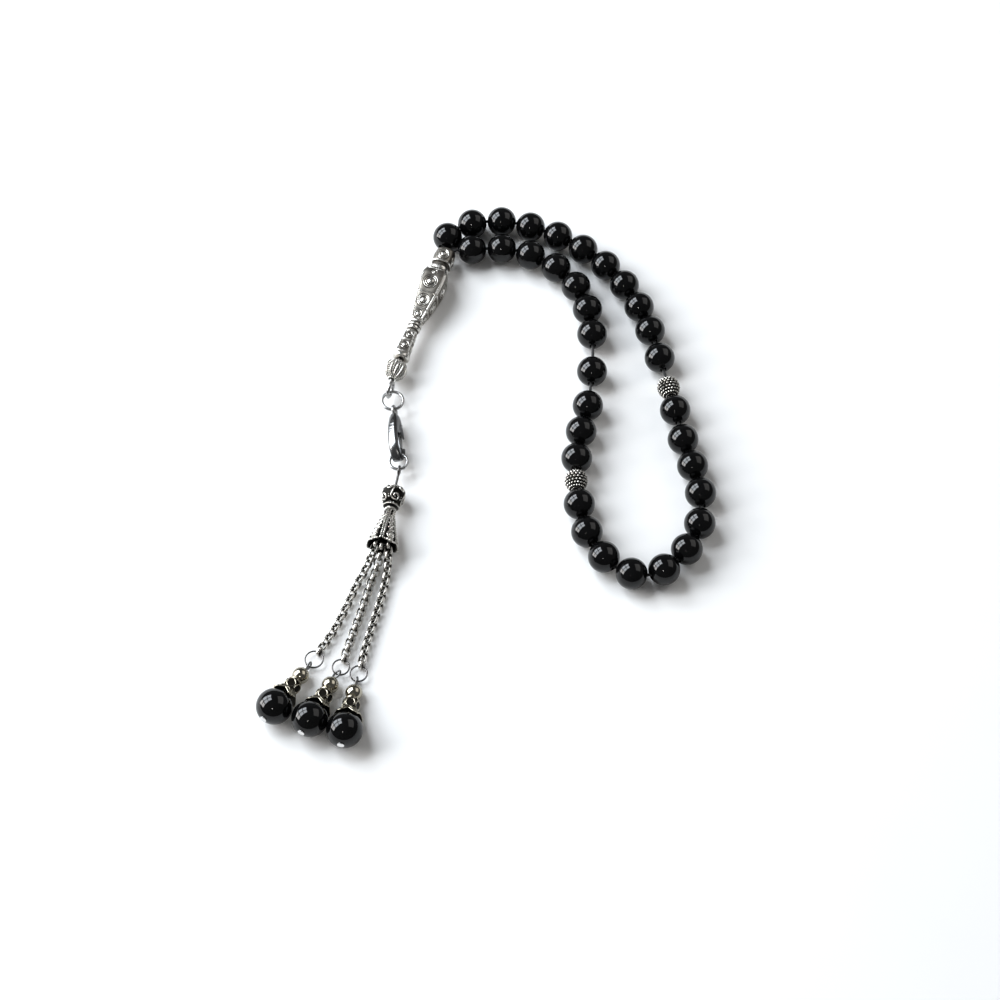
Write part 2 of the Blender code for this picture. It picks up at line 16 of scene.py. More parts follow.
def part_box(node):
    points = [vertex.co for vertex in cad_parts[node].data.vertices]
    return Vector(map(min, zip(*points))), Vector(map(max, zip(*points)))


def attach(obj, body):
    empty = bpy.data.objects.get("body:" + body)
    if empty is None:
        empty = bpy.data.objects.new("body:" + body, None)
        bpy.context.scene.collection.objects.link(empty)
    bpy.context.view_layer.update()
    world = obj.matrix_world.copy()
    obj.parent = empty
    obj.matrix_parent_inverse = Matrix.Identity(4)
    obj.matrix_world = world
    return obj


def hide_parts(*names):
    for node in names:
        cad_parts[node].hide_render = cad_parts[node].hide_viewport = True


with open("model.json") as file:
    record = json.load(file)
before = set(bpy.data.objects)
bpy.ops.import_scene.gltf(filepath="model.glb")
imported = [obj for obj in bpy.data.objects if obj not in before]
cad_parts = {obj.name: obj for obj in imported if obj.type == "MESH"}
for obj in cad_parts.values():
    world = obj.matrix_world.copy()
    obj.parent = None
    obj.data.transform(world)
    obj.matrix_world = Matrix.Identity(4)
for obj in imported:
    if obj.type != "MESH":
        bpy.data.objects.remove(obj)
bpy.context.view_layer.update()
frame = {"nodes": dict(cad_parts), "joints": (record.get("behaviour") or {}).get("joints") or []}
JOINTS = {joint["name"]: joint for joint in frame["joints"]}

MM = 0.001
UP = Vector((0.0, 0.0, 1.0))
SIDES = ("left", "middle", "right")

# Sizes shared with the CAD, in millimetres
BEAD_R = 4.0
DIVIDER_HALF = 2.6
CORD_R = 0.4
KNOT_DEPTH = 8.4
STRAND_OFFSET = 0.62
LEADER_LENGTH = 37.6
MELON_DEPTH = 41.2
MELON_R = 3.2
LEADER_PIN_END = 45.6
LEADER_EYE_R = 2.0
LEADER_EYE_TURN = math.radians(25.0)
LEADER_PIN_R = 0.5
SCROLL_DEPTH = 7.9
SCROLL_R = 3.3
CONE_TOP = 11.8
CONE_HEM = 22.9
HANGER_R = 2.15
HANGER_DEPTH = 20.1
HEAD_WIRE_R = 0.32
HEAD_EYE_R = 1.05
DROP_R = 4.4
DROP_BALL_R = 2.1
DROP_BALL_AT = 10.9
DROP_EYE_AT = 14.4
EYE_ROLL = {"left": 0.0, "middle": 45.0, "right": 0.0}
DROP_EYE_R = {"left": 0.95, "middle": 1.15, "right": 0.95}
DROP_RING_R = {"left": 2.2, "middle": 2.05, "right": 2.05}
DROP_RING_WIRE_R = 0.2
DROP_RING_SPLIT = {"left": 160.0, "middle": 20.0, "right": 200.0}

# The strand's route in metres, from the leader's mouth round to the mouth again, as in the CAD
ROUTE = [
    (-0.0139, 0.0682), (-0.0134, 0.0708), (-0.0116, 0.0732), (-0.0076, 0.0751), (0.0012, 0.0764),
    (0.0098, 0.0744), (0.0176, 0.0711), (0.0243, 0.0666), (0.0303, 0.0611), (0.0349, 0.0550),
    (0.0384, 0.0485), (0.0411, 0.0412), (0.0437, 0.0310), (0.0458, 0.0207), (0.0473, 0.0132),
    (0.0488, 0.0046), (0.0508, -0.0029), (0.0525, -0.0110), (0.0519, -0.0199), (0.0480, -0.0277),
    (0.0424, -0.0332), (0.0382, -0.0347), (0.0338, -0.0344), (0.0299, -0.0323), (0.0267, -0.0289),
    (0.0231, -0.0223), (0.0214, -0.0136), (0.0208, -0.0066), (0.0212, 0.0000), (0.0223, 0.0069),
    (0.0242, 0.0142), (0.0257, 0.0253), (0.0261, 0.0374), (0.0251, 0.0462), (0.0220, 0.0542),
    (0.0169, 0.0602), (0.0104, 0.0644), (0.0023, 0.0669), (-0.0064, 0.0664), (-0.0106, 0.0662),
]

# The chains' routes between their end links, as in the CAD
CHAIN_ROUTES = {
    "left": [(-31.9, -31.0, 1.9), (-34.1, -35.4, 1.06), (-36.4, -41.4, 1.04), (-39.1, -47.8, 1.04)],
    "middle": [(-29.4, -31.2, 1.9), (-31.0, -36.2, 1.06), (-32.6, -42.4, 1.04), (-34.6, -49.2, 1.04)],
    "right": [(-26.7, -31.6, 1.9), (-27.5, -37.0, 1.06), (-29.1, -43.8, 1.04), (-31.0, -51.2, 1.04)],
}


# ---- materials


def new_material(name):
    mat = bpy.data.materials.new(name)
    mat.use_nodes = True
    tree = mat.node_tree
    return mat, tree, tree.nodes["Principled BSDF"]


def noise(tree, scale, detail=4.0, roughness=0.55):
    place = tree.nodes.new("ShaderNodeTexCoord")
    node = tree.nodes.new("ShaderNodeTexNoise")
    node.inputs["Scale"].default_value = scale
    node.inputs["Detail"].default_value = detail
    node.inputs["Roughness"].default_value = roughness
    tree.links.new(place.outputs["Object"], node.inputs["Vector"])
    return node.outputs["Fac"]


def ramp(tree, value, stops):
    node = tree.nodes.new("ShaderNodeValToRGB")
    while len(node.color_ramp.elements) < len(stops):
        node.color_ramp.elements.new(0.5)
    for element, (place, colour) in zip(node.color_ramp.elements, stops):
        element.position = place
        element.color = (*colour, 1.0) if len(colour) == 3 else (colour[0],) * 3 + (1.0,)
    tree.links.new(value, node.inputs["Fac"])
    return node.outputs["Color"]


def bump(tree, shader, height, distance, strength):
    node = tree.nodes.new("ShaderNodeBump")
    node.inputs["Strength"].default_value = strength
    node.inputs["Distance"].default_value = distance
    tree.links.new(height, node.inputs["Height"])
    tree.links.new(node.outputs["Normal"], shader.inputs["Normal"])


def arithmetic(tree, operation, *values):
    node = tree.nodes.new("ShaderNodeMath")
    node.operation = operation
    for socket, value in zip(node.inputs, values):
        if isinstance(value, (int, float)):
            socket.default_value = value
        else:
            tree.links.new(value, socket)
    return node.outputs["Value"]


def onyx(name):
    """Polished black stone: cloudy depth, a hint of grey veining, and a polish that is never quite even."""
    mat, tree, shader = new_material(name)
    cloud = noise(tree, 260.0, 5.0, 0.6)
    colour = ramp(tree, cloud, [(0.38, (0.0022, 0.0023, 0.0026)), (0.62, (0.0048, 0.0048, 0.0052)),
                                (0.78, (0.010, 0.0102, 0.0105))])
    tree.links.new(colour, shader.inputs["Base Color"])
    polish = ramp(tree, noise(tree, 900.0, 3.0), [(0.3, (0.028,)), (0.75, (0.065,))])
    tree.links.new(polish, shader.inputs["Roughness"])
    shader.inputs["IOR"].default_value = 1.48
    bump(tree, shader, noise(tree, 340.0, 2.0), 0.00003, 0.12)
    return mat


TARNISH = 0.34


def antique(name, deep, middle, proud, rough_deep, rough_proud, scratch=0.25):
    """Oxidised metal: dark in the recesses, worn bright where the relief stands proud."""
    mat, tree, shader = new_material(name)
    shader.inputs["Metallic"].default_value = 1.0
    relief = tree.nodes.new("ShaderNodeAttribute")
    relief.attribute_name = "relief"
    tarnish = arithmetic(tree, "MULTIPLY_ADD", noise(tree, 700.0, 6.0, 0.65), TARNISH, -TARNISH / 2)
    worn = arithmetic(tree, "ADD", relief.outputs["Fac"], tarnish)
    colour = ramp(tree, worn, [(0.04, deep), (0.42, middle), (0.86, proud)])
    tree.links.new(colour, shader.inputs["Base Color"])
    rough = ramp(tree, worn, [(0.05, (rough_deep,)), (0.9, (rough_proud,))])
    tree.links.new(rough, shader.inputs["Roughness"])
    bump(tree, shader, noise(tree, 2600.0, 6.0, 0.7), 0.00005, scratch)
    return mat


def twine(name):
    """Waxed black cord: matt fibres with a soft sheen."""
    mat, tree, shader = new_material(name)
    fibres = noise(tree, 5200.0, 4.0, 0.7)
    tree.links.new(ramp(tree, fibres, [(0.3, (0.006, 0.006, 0.0065)), (0.7, (0.026, 0.026, 0.028))]),
                   shader.inputs["Base Color"])
    shader.inputs["Roughness"].default_value = 0.72
    shader.inputs["Sheen Weight"].default_value = 0.35
    bump(tree, shader, fibres, 0.00012, 0.6)
    return mat


def paper_white(name):
    mat, tree, shader = new_material(name)
    tone = ramp(tree, noise(tree, 9.0, 3.0), [(0.3, (0.86, 0.855, 0.85)), (0.7, (0.89, 0.888, 0.884))])
    tree.links.new(tone, shader.inputs["Base Color"])
    shader.inputs["Roughness"].default_value = 0.62
    return mat


ONYX = onyx("onyx")
SILVER = antique("antique_silver", (0.026, 0.023, 0.020), (0.33, 0.31, 0.28), (0.74, 0.725, 0.69), 0.48, 0.22)
STEEL = antique("steel", (0.03, 0.03, 0.031), (0.17, 0.17, 0.173), (0.40, 0.398, 0.395), 0.42, 0.24, 0.1)
CLASP_STEEL = antique("clasp_steel", (0.02, 0.02, 0.0205), (0.12, 0.12, 0.123), (0.33, 0.33, 0.33),
                      0.34, 0.2, 0.1)
GUNMETAL = antique("gunmetal", (0.010, 0.0095, 0.008), (0.15, 0.142, 0.13), (0.68, 0.66, 0.62), 0.5, 0.22)
DARK_WIRE = antique("dark_wire", (0.02, 0.019, 0.018), (0.07, 0.067, 0.065), (0.125, 0.12, 0.118),
                    0.45, 0.24, 0.12)
PEWTER = antique("pewter", (0.02, 0.018, 0.015), (0.17, 0.155, 0.125), (0.40, 0.372, 0.31), 0.42, 0.13, 0.08)
PIN_STEEL = antique("pin_steel", (0.05, 0.05, 0.05), (0.3, 0.3, 0.3), (0.72, 0.715, 0.71), 0.4, 0.18, 0.1)
CORD = twine("cord")


# ---- mesh building


def unit(v):
    return v / np.linalg.norm(v, axis=-1, keepdims=True)


def carried(matrix, points):
    m = np.array(matrix, float)
    return points @ m[:3, :3].T + m[:3, 3]


def smoothstep(low, high, x):
    t = np.clip((x - low) / (high - low), 0.0, 1.0)
    return t * t * (3 - 2 * t)


def signed_power(x, power):
    """A power that keeps its number's sign, for rounded squares."""
    return np.sign(x) * np.abs(x) ** power


def profile(x, knots):
    """A smooth line through (x, y) knots, with no overshoot."""
    xs = np.array([k[0] for k in knots], float)
    ys = np.array([k[1] for k in knots], float)
    slopes = np.diff(ys) / np.diff(xs)
    product = slopes[1:] * slopes[:-1]
    same_way = product > 0
    inner = np.where(same_way, 2 * product / np.where(same_way, slopes[1:] + slopes[:-1], 1.0), 0.0)
    tangents = np.concatenate([[slopes[0]], inner, [slopes[-1]]])
    i = np.clip(np.searchsorted(xs, x, side="right") - 1, 0, len(xs) - 2)
    h = xs[i + 1] - xs[i]
    t = np.clip((x - xs[i]) / h, 0.0, 1.0)
    return ((2 * t**3 - 3 * t**2 + 1) * ys[i] + (t**3 - 2 * t**2 + t) * h * tangents[i]
            + (3 * t**2 - 2 * t**3) * ys[i + 1] + (t**3 - t**2) * h * tangents[i + 1])


def polar(radius, angle, height=0.0):
    """Points at a radius and an angle round the Z axis, at a height."""
    return np.stack(np.broadcast_arrays(radius * np.cos(angle), radius * np.sin(angle), height), -1)


def circle(radius, count, start=0.0, end=360.0, closed=True):
    """Points on a circle in the XY plane; an open one includes both ends."""
    return polar(radius, np.radians(np.linspace(start, end, count + (not closed), endpoint=not closed)))


def headings(path, closed):
    """The direction of a path at each of its points."""
    ahead = np.roll(path, -1, 0) - np.roll(path, 1, 0)
    if not closed:
        ahead[0] = path[1] - path[0]
        ahead[-1] = path[-1] - path[-2]
    return unit(ahead)


def lengths_along(path):
    """How far along a path each of its points is."""
    return np.concatenate([[0.0], np.cumsum(np.linalg.norm(np.diff(path, axis=0), axis=1))])


def at_lengths(path, where):
    """Points on a path at given lengths along it."""
    reach = lengths_along(path)
    return np.stack([np.interp(where, reach, path[:, i]) for i in range(3)], -1)


def transport(path, closed):
    """Two directions square to a path at each of its points, turned as little as possible along it."""
    tangent = headings(path, closed)
    normal = np.zeros_like(path)
    first = np.cross(tangent[0], (0.0, 0.0, 1.0))
    if np.linalg.norm(first) < 0.2:
        first = np.cross(tangent[0], (1.0, 0.0, 0.0))
    normal[0] = unit(first)
    for i in range(1, len(path)):
        n = normal[i - 1] - tangent[i] * (normal[i - 1] @ tangent[i])
        normal[i] = unit(n)
    side = np.cross(tangent, normal)
    if closed:
        again = normal[-1] - tangent[0] * (normal[-1] @ tangent[0])
        miss = math.atan2(again @ side[0], again @ normal[0])
        turn = -miss * np.arange(len(path)) / len(path)
        turned = normal * np.cos(turn)[:, None] + side * np.sin(turn)[:, None]
        normal, side = turned, np.cross(tangent, turned)
    return normal, side


class Form:
    """Closed shells gathered into one mesh. Each point has a relief from 0, deep, to 1, proud."""

    def __init__(self):
        self.points = []
        self.faces = []
        self.relief = []
        self.count = 0

    def grid(self, points, relief=1.0, wrap_u=False, place=None):
        """A shell from rows of points, each closed on itself. With wrap_u the last row meets the first."""
        points = np.asarray(points, float)
        rows, columns = points.shape[:2]
        flat = points.reshape(-1, 3)
        if place is not None:
            flat = carried(place, flat)
        index = self.count + np.arange(rows * columns).reshape(rows, columns)
        a, b = (index, np.roll(index, -1, 0)) if wrap_u else (index[:-1], index[1:])
        quads = (a, b, np.roll(b, -1, 1), np.roll(a, -1, 1))
        self.points.append(flat)
        self.faces.append(np.stack(quads, -1).reshape(-1, 4))
        self.relief.append(np.broadcast_to(relief, (rows, columns)).reshape(-1))
        self.count += rows * columns

    def lathe(self, outline, steps=48, closed=False, relief=1.0, place=None):
        """A turned shell from (radius, height) points, open outlines ending on the axis."""
        outline = np.array(outline, float)
        angles = np.linspace(0, math.tau, steps, endpoint=False)
        self.grid(polar(outline[:, :1], angles, outline[:, 1:]), relief, wrap_u=closed, place=place)

    def ball(self, centre, radius, steps, relief=1.0):
        angles = np.linspace(math.pi / 2, -math.pi / 2, steps // 2 + 1)
        outline = np.stack([radius * np.cos(angles), radius * np.sin(angles)], -1)
        self.lathe(outline, steps, relief=relief, place=Matrix.Translation(centre))

    def sweep(self, path, radius, sides=12, closed=False, flat=None, relief=1.0, place=None):
        """A wire of one radius, or one for each point. With flat, its section is an ellipse: flat is its
        thickness as a share of its width, measured in the plane of a flat path."""
        path = np.asarray(path, float)
        radius = np.broadcast_to(radius, len(path))[:, None, None]
        if flat is None:
            normal, side = transport(path, closed)
            thin = 1.0
        else:
            side = np.broadcast_to((0.0, 0.0, 1.0), path.shape)
            normal = np.cross(side, headings(path, closed))
            thin = flat
        angles = np.linspace(0, math.tau, sides, endpoint=False)
        ring = (normal[:, None] * thin * np.cos(angles)[None, :, None]
                + side[:, None] * np.sin(angles)[None, :, None])
        points = path[:, None] + ring * radius
        if np.ndim(relief) < 2:
            relief = np.broadcast_to(relief, len(path))[:, None] * np.ones(sides)
        if not closed:
            points = np.concatenate([np.repeat(path[:1, None], sides, 1), points,
                                     np.repeat(path[-1:, None], sides, 1)])
            relief = np.concatenate([relief[:1], relief, relief[-1:]])
        self.grid(points, relief, wrap_u=closed, place=place)

    def rope(self, path, radius, pitch, closed=False, relief=1.0):
        """Two wires twisted round a path, each as thick as the twist leaves room for."""
        path = np.asarray(path, float)
        normal, side = transport(path, closed)
        along = lengths_along(path)
        length = along[-1] + (np.linalg.norm(path[0] - path[-1]) if closed else 0.0)
        turns = max(1, round(length / pitch)) if closed else length / pitch
        angle = math.tau * turns * along / length
        for start in (0.0, math.pi):
            a = (angle + start)[:, None]
            strand = path + (normal * np.cos(a) + side * np.sin(a)) * radius * 0.5
            self.sweep(strand, radius * 0.55, 7, closed, relief=relief)

    def wear(self, function):
        """Works the relief out from each point's place instead."""
        self.relief = [function(np.concatenate(self.points))]

    def mesh(self, name):
        mesh = bpy.data.meshes.new(name)
        mesh.from_pydata(np.concatenate(self.points) * MM, [], np.concatenate(self.faces).tolist())
        relief = mesh.attributes.new("relief", "FLOAT", "POINT")
        relief.data.foreach_set("value", np.concatenate(self.relief).astype(np.float32))
        bm = bmesh.new()
        bm.from_mesh(mesh)
        bmesh.ops.remove_doubles(bm, verts=bm.verts, dist=2e-7)
        bmesh.ops.recalc_face_normals(bm, faces=bm.faces)
        bm.to_mesh(mesh)
        bm.free()
        return mesh

    def piece(self, name, body, finish, place=None, nodes=(), sharp=50.0):
        """The finished object, riding on its body in place of its CAD nodes."""
        mesh = self.mesh(name)
        dress(mesh, finish, sharp)
        return show(name, mesh, body, place, nodes)


def dress(mesh, finish, sharp):
    mesh.shade_smooth()
    mesh.set_sharp_from_angle(angle=math.radians(sharp))
    mesh.materials.clear()
    mesh.materials.append(finish)


def show(name, mesh, body, place=None, nodes=()):
    obj = bpy.data.objects.new(name, mesh)
    bpy.context.scene.collection.objects.link(obj)
    if place is not None:
        obj.matrix_world = place
    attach(obj, body)
    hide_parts(*nodes)
    return obj


# ---- places


def aimed(at, along):
    """A frame at a point with Z along a direction and X as far up as it can point."""
    z = Vector(along).normalized()
    x = (UP - UP.dot(z) * z).normalized()
    y = z.cross(x)
    return Matrix.Translation(at) @ Matrix((x, y, z)).transposed().to_4x4()


def middle(node):
    low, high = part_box(node)
    return (low + high) / 2


def axis_of(joint):
    return Vector(JOINTS[joint]["axis"])


def place_of(joint):
    return Vector(JOINTS[joint]["pos_m"])


LEADER_DIR = -axis_of("leader_ball_spin")
LEADER_TOP = place_of("leader_ball_spin") - LEADER_DIR * MELON_DEPTH * MM
HEAD_AT = place_of("cone_cap_spin")
HEAD_DIR = -axis_of("cone_cap_spin")


def arc(radius, start, end, count, centre=0.0):
    """(radius, height) points on a circle about a point on the axis, between two angles above its equator."""
    angles = np.radians(np.linspace(start, end, count + 1))
    return np.stack([radius * np.cos(angles), centre + radius * np.sin(angles)], -1)


# ---- cord


def smooth_curve(knots, per_span):
    """Points on a centripetal Catmull-Rom curve through the knots."""
    ends = [2 * knots[0] - knots[1], *knots, 2 * knots[-1] - knots[-2]]
    points = []
    for a, b, c, d in zip(ends, ends[1:], ends[2:], ends[3:]):
        t1 = (b - a).length ** 0.5
        t2 = t1 + (c - b).length ** 0.5
        t3 = t2 + (d - c).length ** 0.5
        for i in range(per_span):
            t = t1 + (t2 - t1) * i / per_span
            ab = a.lerp(b, t / t1)
            bc = b.lerp(c, (t - t1) / (t2 - t1))
            cd = c.lerp(d, (t - t2) / (t3 - t2))
            points.append(ab.lerp(bc, t / t2).lerp(bc.lerp(cd, (t - t1) / (t3 - t1)), (t - t1) / (t2 - t1)))
    return [*points, knots[-1].copy()]


def evenly(points, step):
    """A polyline's points again, a step apart."""
    points = np.array([tuple(p) for p in points])
    length = lengths_along(points)[-1]
    return at_lengths(points, np.linspace(0.0, length, round(length / step) + 1))


CORD_STEP = 0.22
KNOT_LOOP_R = 1.0
KNOT_CORD_R = 0.42
PLIES = 3
PLY_GROOVE = 0.11
PLY_TWIST = 2.2


def strand_route():
    """The cord's centreline in millimetres, from the knot round the strand and back to the knot."""
    top = LEADER_TOP / MM
    side = LEADER_DIR.cross(UP) * -1
    entry = ((KNOT_DEPTH, 0.6), (4.0, 1.0), (1.2, 1.0))
    out = [top + LEADER_DIR * depth - side * STRAND_OFFSET * share for depth, share in entry]
    back = [top + LEADER_DIR * depth + side * STRAND_OFFSET * share for depth, share in entry[::-1]]
    around = [Vector((x / MM, y / MM, BEAD_R)) for x, y in ROUTE]
    return evenly(smooth_curve([*out, *around, *back], 40), CORD_STEP)


def make_cord():
    """Three-ply cord, its plies as a slow twist in the section, with three crossed loops for its knot."""
    path = strand_route()
    normal, side = transport(path, False)
    angles = np.linspace(0, math.tau, 5 * PLIES, endpoint=False)
    along = np.arange(len(path))[:, None] * CORD_STEP
    plies = 1 - PLY_GROOVE * (1 - np.abs(np.cos(PLIES / 2 * (angles + along * PLY_TWIST))))
    ring = normal[:, None] * np.cos(angles)[None, :, None] + side[:, None] * np.sin(angles)[None, :, None]
    points = path[:, None] + ring * (CORD_R * plies)[:, :, None]
    start, end = (np.tile(path[i], (1, len(angles), 1)) for i in (0, -1))
    form = Form()
    form.grid(np.concatenate([start, points, end]))
    knot = aimed(LEADER_TOP / MM + LEADER_DIR * KNOT_DEPTH, LEADER_DIR)
    for i in range(3):
        turn = Matrix.Rotation(math.tau * i / 3, 4, "Z") @ Matrix.Rotation(0.9, 4, "X")
        form.sweep(circle(KNOT_LOOP_R, 24), KNOT_CORD_R, 8, closed=True, place=knot @ turn)
    cord = form.piece("bead_cord", "strand", CORD, nodes=["cord"])


# ---- beads


def make_beads():
    """Thirty-three balls that share a mesh, each bored along its own stretch of the cord."""
    bore, mouth = 0.8, 1.02
    edge = math.degrees(math.acos(mouth / BEAD_R))
    depth = BEAD_R * math.sin(math.radians(edge))
    outline = [*arc(BEAD_R, edge, -edge, 44), (0.9, -depth + 0.05), (bore, -depth + 0.2), (bore, depth - 0.2),
               (0.9, depth - 0.05)]
    form = Form()
    form.lathe(outline, 72, closed=True)
    beads = [node for node in frame["nodes"] if node.startswith("bead_")]
    first = None
    for node in sorted(beads):
        joint = f"{node}_spin" if f"{node}_spin" in JOINTS else f"{node}_slide"
        place = aimed(middle(node), axis_of(joint))
        number = node.split("_")[1]
        if first is None:
            first = form.piece(f"onyx_{number}", node, ONYX, place, [node])
        else:
            show(f"onyx_{number}", first.data, node, place, [node])


GRANULE_ROWS = 7
GRANULES_AROUND = 18
GRANULE_HEIGHT = 0.42
DIVIDER_SHELL_R = 2.7
DIVIDER_BORE_R = 0.85
DIVIDER_EDGE = math.radians(66)


def make_divider(node, joint):
    """A small barrel covered with rows of granules."""
    turn = np.linspace(0, math.tau, GRANULES_AROUND * 11, endpoint=False)
    lat, lon = np.meshgrid(np.linspace(DIVIDER_EDGE, -DIVIDER_EDGE, 120), turn, indexing="ij")
    row_height = math.radians(112 / GRANULE_ROWS)
    row = np.round(lat / row_height)
    shift = np.where(row % 2 == 0, 0.0, 0.5)
    u = (lat - row * row_height) / row_height * 2
    v = (np.mod(lon / (math.tau / GRANULES_AROUND) + shift, 1.0) - 0.5) * 2
    away = (np.abs(u) ** 1.7 + np.abs(v) ** 1.7) ** (1 / 1.7)
    dome = np.clip(1 - away / 0.98, 0, 1) ** 0.75 * (np.abs(row) <= GRANULE_ROWS // 2)
    r = DIVIDER_SHELL_R + GRANULE_HEIGHT * dome
    z = r * np.sin(lat) * DIVIDER_HALF / (DIVIDER_SHELL_R * math.sin(DIVIDER_EDGE))
    shell = polar(r * np.cos(lat), lon, np.clip(z, -DIVIDER_HALF, DIVIDER_HALF))
    mouth = DIVIDER_HALF - 0.05
    bore = polar(DIVIDER_BORE_R, turn, np.array([[-mouth], [mouth]]))
    relief = np.concatenate([smoothstep(0.12, 0.7, dome), np.full((2, len(turn)), 0.2)])
    form = Form()
    form.grid(np.concatenate([shell, bore]), relief, wrap_u=True)
    for end in (1, -1):
        rim = circle(1.18, 40) + (0, 0, end * (DIVIDER_HALF - 0.17))
        form.sweep(rim, 0.17, 8, closed=True, relief=0.8)
    form.piece(f"granulated_{node}", node, GUNMETAL, aimed(middle(node), axis_of(joint)), [node])


# ---- leader bead


# Half-width at a depth below the leader's mouth, and how square the section is there: 2 is round
LEADER_WIDTH = [
    (0.0, 2.25), (0.35, 2.65), (0.8, 2.8), (2.6, 2.92), (4.6, 2.85), (5.0, 2.7), (5.3, 2.25), (5.9, 2.2),
    (6.2, 2.7), (6.6, 2.9), (7.0, 2.9), (7.3, 2.8), (8.4, 3.25), (10.2, 3.6), (12.8, 3.68), (15.5, 3.4),
    (20.5, 2.6), (24.2, 1.9), (25.5, 1.62), (25.8, 1.95), (26.4, 2.05), (26.7, 1.75), (27.0, 2.05),
    (27.6, 1.98), (27.9, 1.6), (29.0, 1.66), (33.0, 1.9), (36.2, 2.15), (36.6, 2.4), (37.1, 2.42),
    (37.4, 2.3), (LEADER_LENGTH, 2.0),
]
LEADER_SQUARE = [
    (0.0, 2.2), (1.0, 3.0), (4.5, 3.0), (5.5, 2.2), (7.0, 2.4), (9.0, 5.0), (23.0, 5.0), (25.3, 2.6),
    (25.8, 2.0), (27.6, 2.0), (28.4, 3.6), (36.0, 3.6), (36.8, 2.2), (LEADER_LENGTH, 2.0),
]
LEADER_BORE = [
    (0.85, LEADER_LENGTH), (0.8, 37.0), (0.75, 15.0), (2.1, 13.6), (2.1, 6.8), (1.4, 5.6), (1.4, 1.2),
    (1.9, 0.3), (2.05, 0.0),
]
LEADER_INSET = 0.14
LEADER_GROOVES = [(5.0, 6.1), (25.3, 25.75), (26.55, 26.85), (27.8, 28.2)]
LEADER_PLAIN = [(4.6, 7.5), (24.8, 28.2), (36.25, 37.7)]

# Bars across a face as (depth, height), and ring-and-dot marks as (depth, dome radius, ring radii)
LEADER_BARS = [(8.2, 0.16), (16.5, 0.2), (21.7, 0.16), (24.4, 0.16), (28.7, 0.14), (31.6, 0.14), (35.7, 0.14)]
LEADER_MARKS = [
    (13.0, 0.98, (1.4, 1.95)), (19.0, 0.82, (1.2, 1.62)), (23.2, 0.6, (0.95,)), (9.6, 0.42, (0.72,)),
    (33.6, 0.72, (1.08,)), (30.1, 0.5, (0.85,)), (2.7, 0.72, (1.1, 1.55)),
]


def ridge(away, width):
    """A rounded ridge, 1 along its crest."""
    return np.exp(-((away / width) ** 2))


def ring_and_dot(u, v, dome, rings):
    """A dome with raised rings round it, as a height in millimetres."""
    away = np.hypot(u, v)
    height = 0.5 * dome * np.sqrt(np.clip(1 - (away / dome) ** 2, 0, 1)) ** 0.8
    for radius in rings:
        height = height + 0.2 * ridge(away - radius, 0.14)
    return height, away


def leader_relief(depth, across, width):
    """The ornament on each face of the leader bead: framed panels of rings and dots."""
    height = np.full_like(depth, -0.06)
    body = smoothstep(7.6, 8.2, depth) * (1 - smoothstep(24.4, 24.9, depth))
    foot = smoothstep(28.3, 28.7, depth) * (1 - smoothstep(35.9, 36.2, depth))
    height += (body + foot) * 0.2 * ridge(np.abs(across) - 0.82 * width, 0.15)
    inside = smoothstep(0.0, 0.3, 0.86 * width - np.abs(across))
    for at, lift in LEADER_BARS:
        height += lift * inside * ridge(depth - at, 0.16)
    for at, dome, rings in LEADER_MARKS:
        mark, away = ring_and_dot(depth - at, across, dome, rings)
        reach = rings[-1] + 0.3
        near = 1 - smoothstep(reach - 0.12, reach + 0.12, away)
        height = height * (1 - near) + (mark - 0.14) * near
    return height


def make_leader():
    """The squarish leader bead, its faces in relief, open at both ends for the cord and the pin."""
    depth = np.linspace(0.0, LEADER_LENGTH, 420)
    angle = np.linspace(0, math.tau, 208, endpoint=False)
    t, phi = np.meshgrid(depth, angle, indexing="ij")
    width = profile(t, LEADER_WIDTH)
    power = profile(t, LEADER_SQUARE)
    c, s = np.abs(np.cos(phi)), np.abs(np.sin(phi))
    radius = width * (c**power + s**power) ** (-1 / power)
    face = np.mod(phi + math.pi / 4, math.pi / 2) - math.pi / 4
    across = radius * np.sin(face)
    height = leader_relief(t, across, width)
    grooves = np.any([(low < t) & (t < high) for low, high in LEADER_GROOVES], 0)
    plain = np.any([(low < t) & (t < high) for low, high in LEADER_PLAIN], 0)
    height = np.where(plain, 0.02, height)
    ends = smoothstep(0.0, 0.5, t)
    radius = radius + (height - LEADER_INSET) * ends
    relief = smoothstep(-0.15, 0.1, height) * np.where(grooves, 0.15, 1.0)
    bore = np.array(LEADER_BORE)
    inside = polar(bore[:, :1], angle, -bore[:, 1:])
    form = Form()
    form.grid(np.concatenate([polar(radius, phi, -t), inside]),
              np.concatenate([relief, np.full(inside.shape[:2], 0.1)]), wrap_u=True)
    place = aimed(LEADER_TOP, -LEADER_DIR)
    form.piece("leader_body", "strand", SILVER, place, ["leader_bead"], sharp=70)


MELON_RIBS = 12
MELON_RIB_HEIGHT = 0.42
MELON_EDGE = math.radians(75.5)


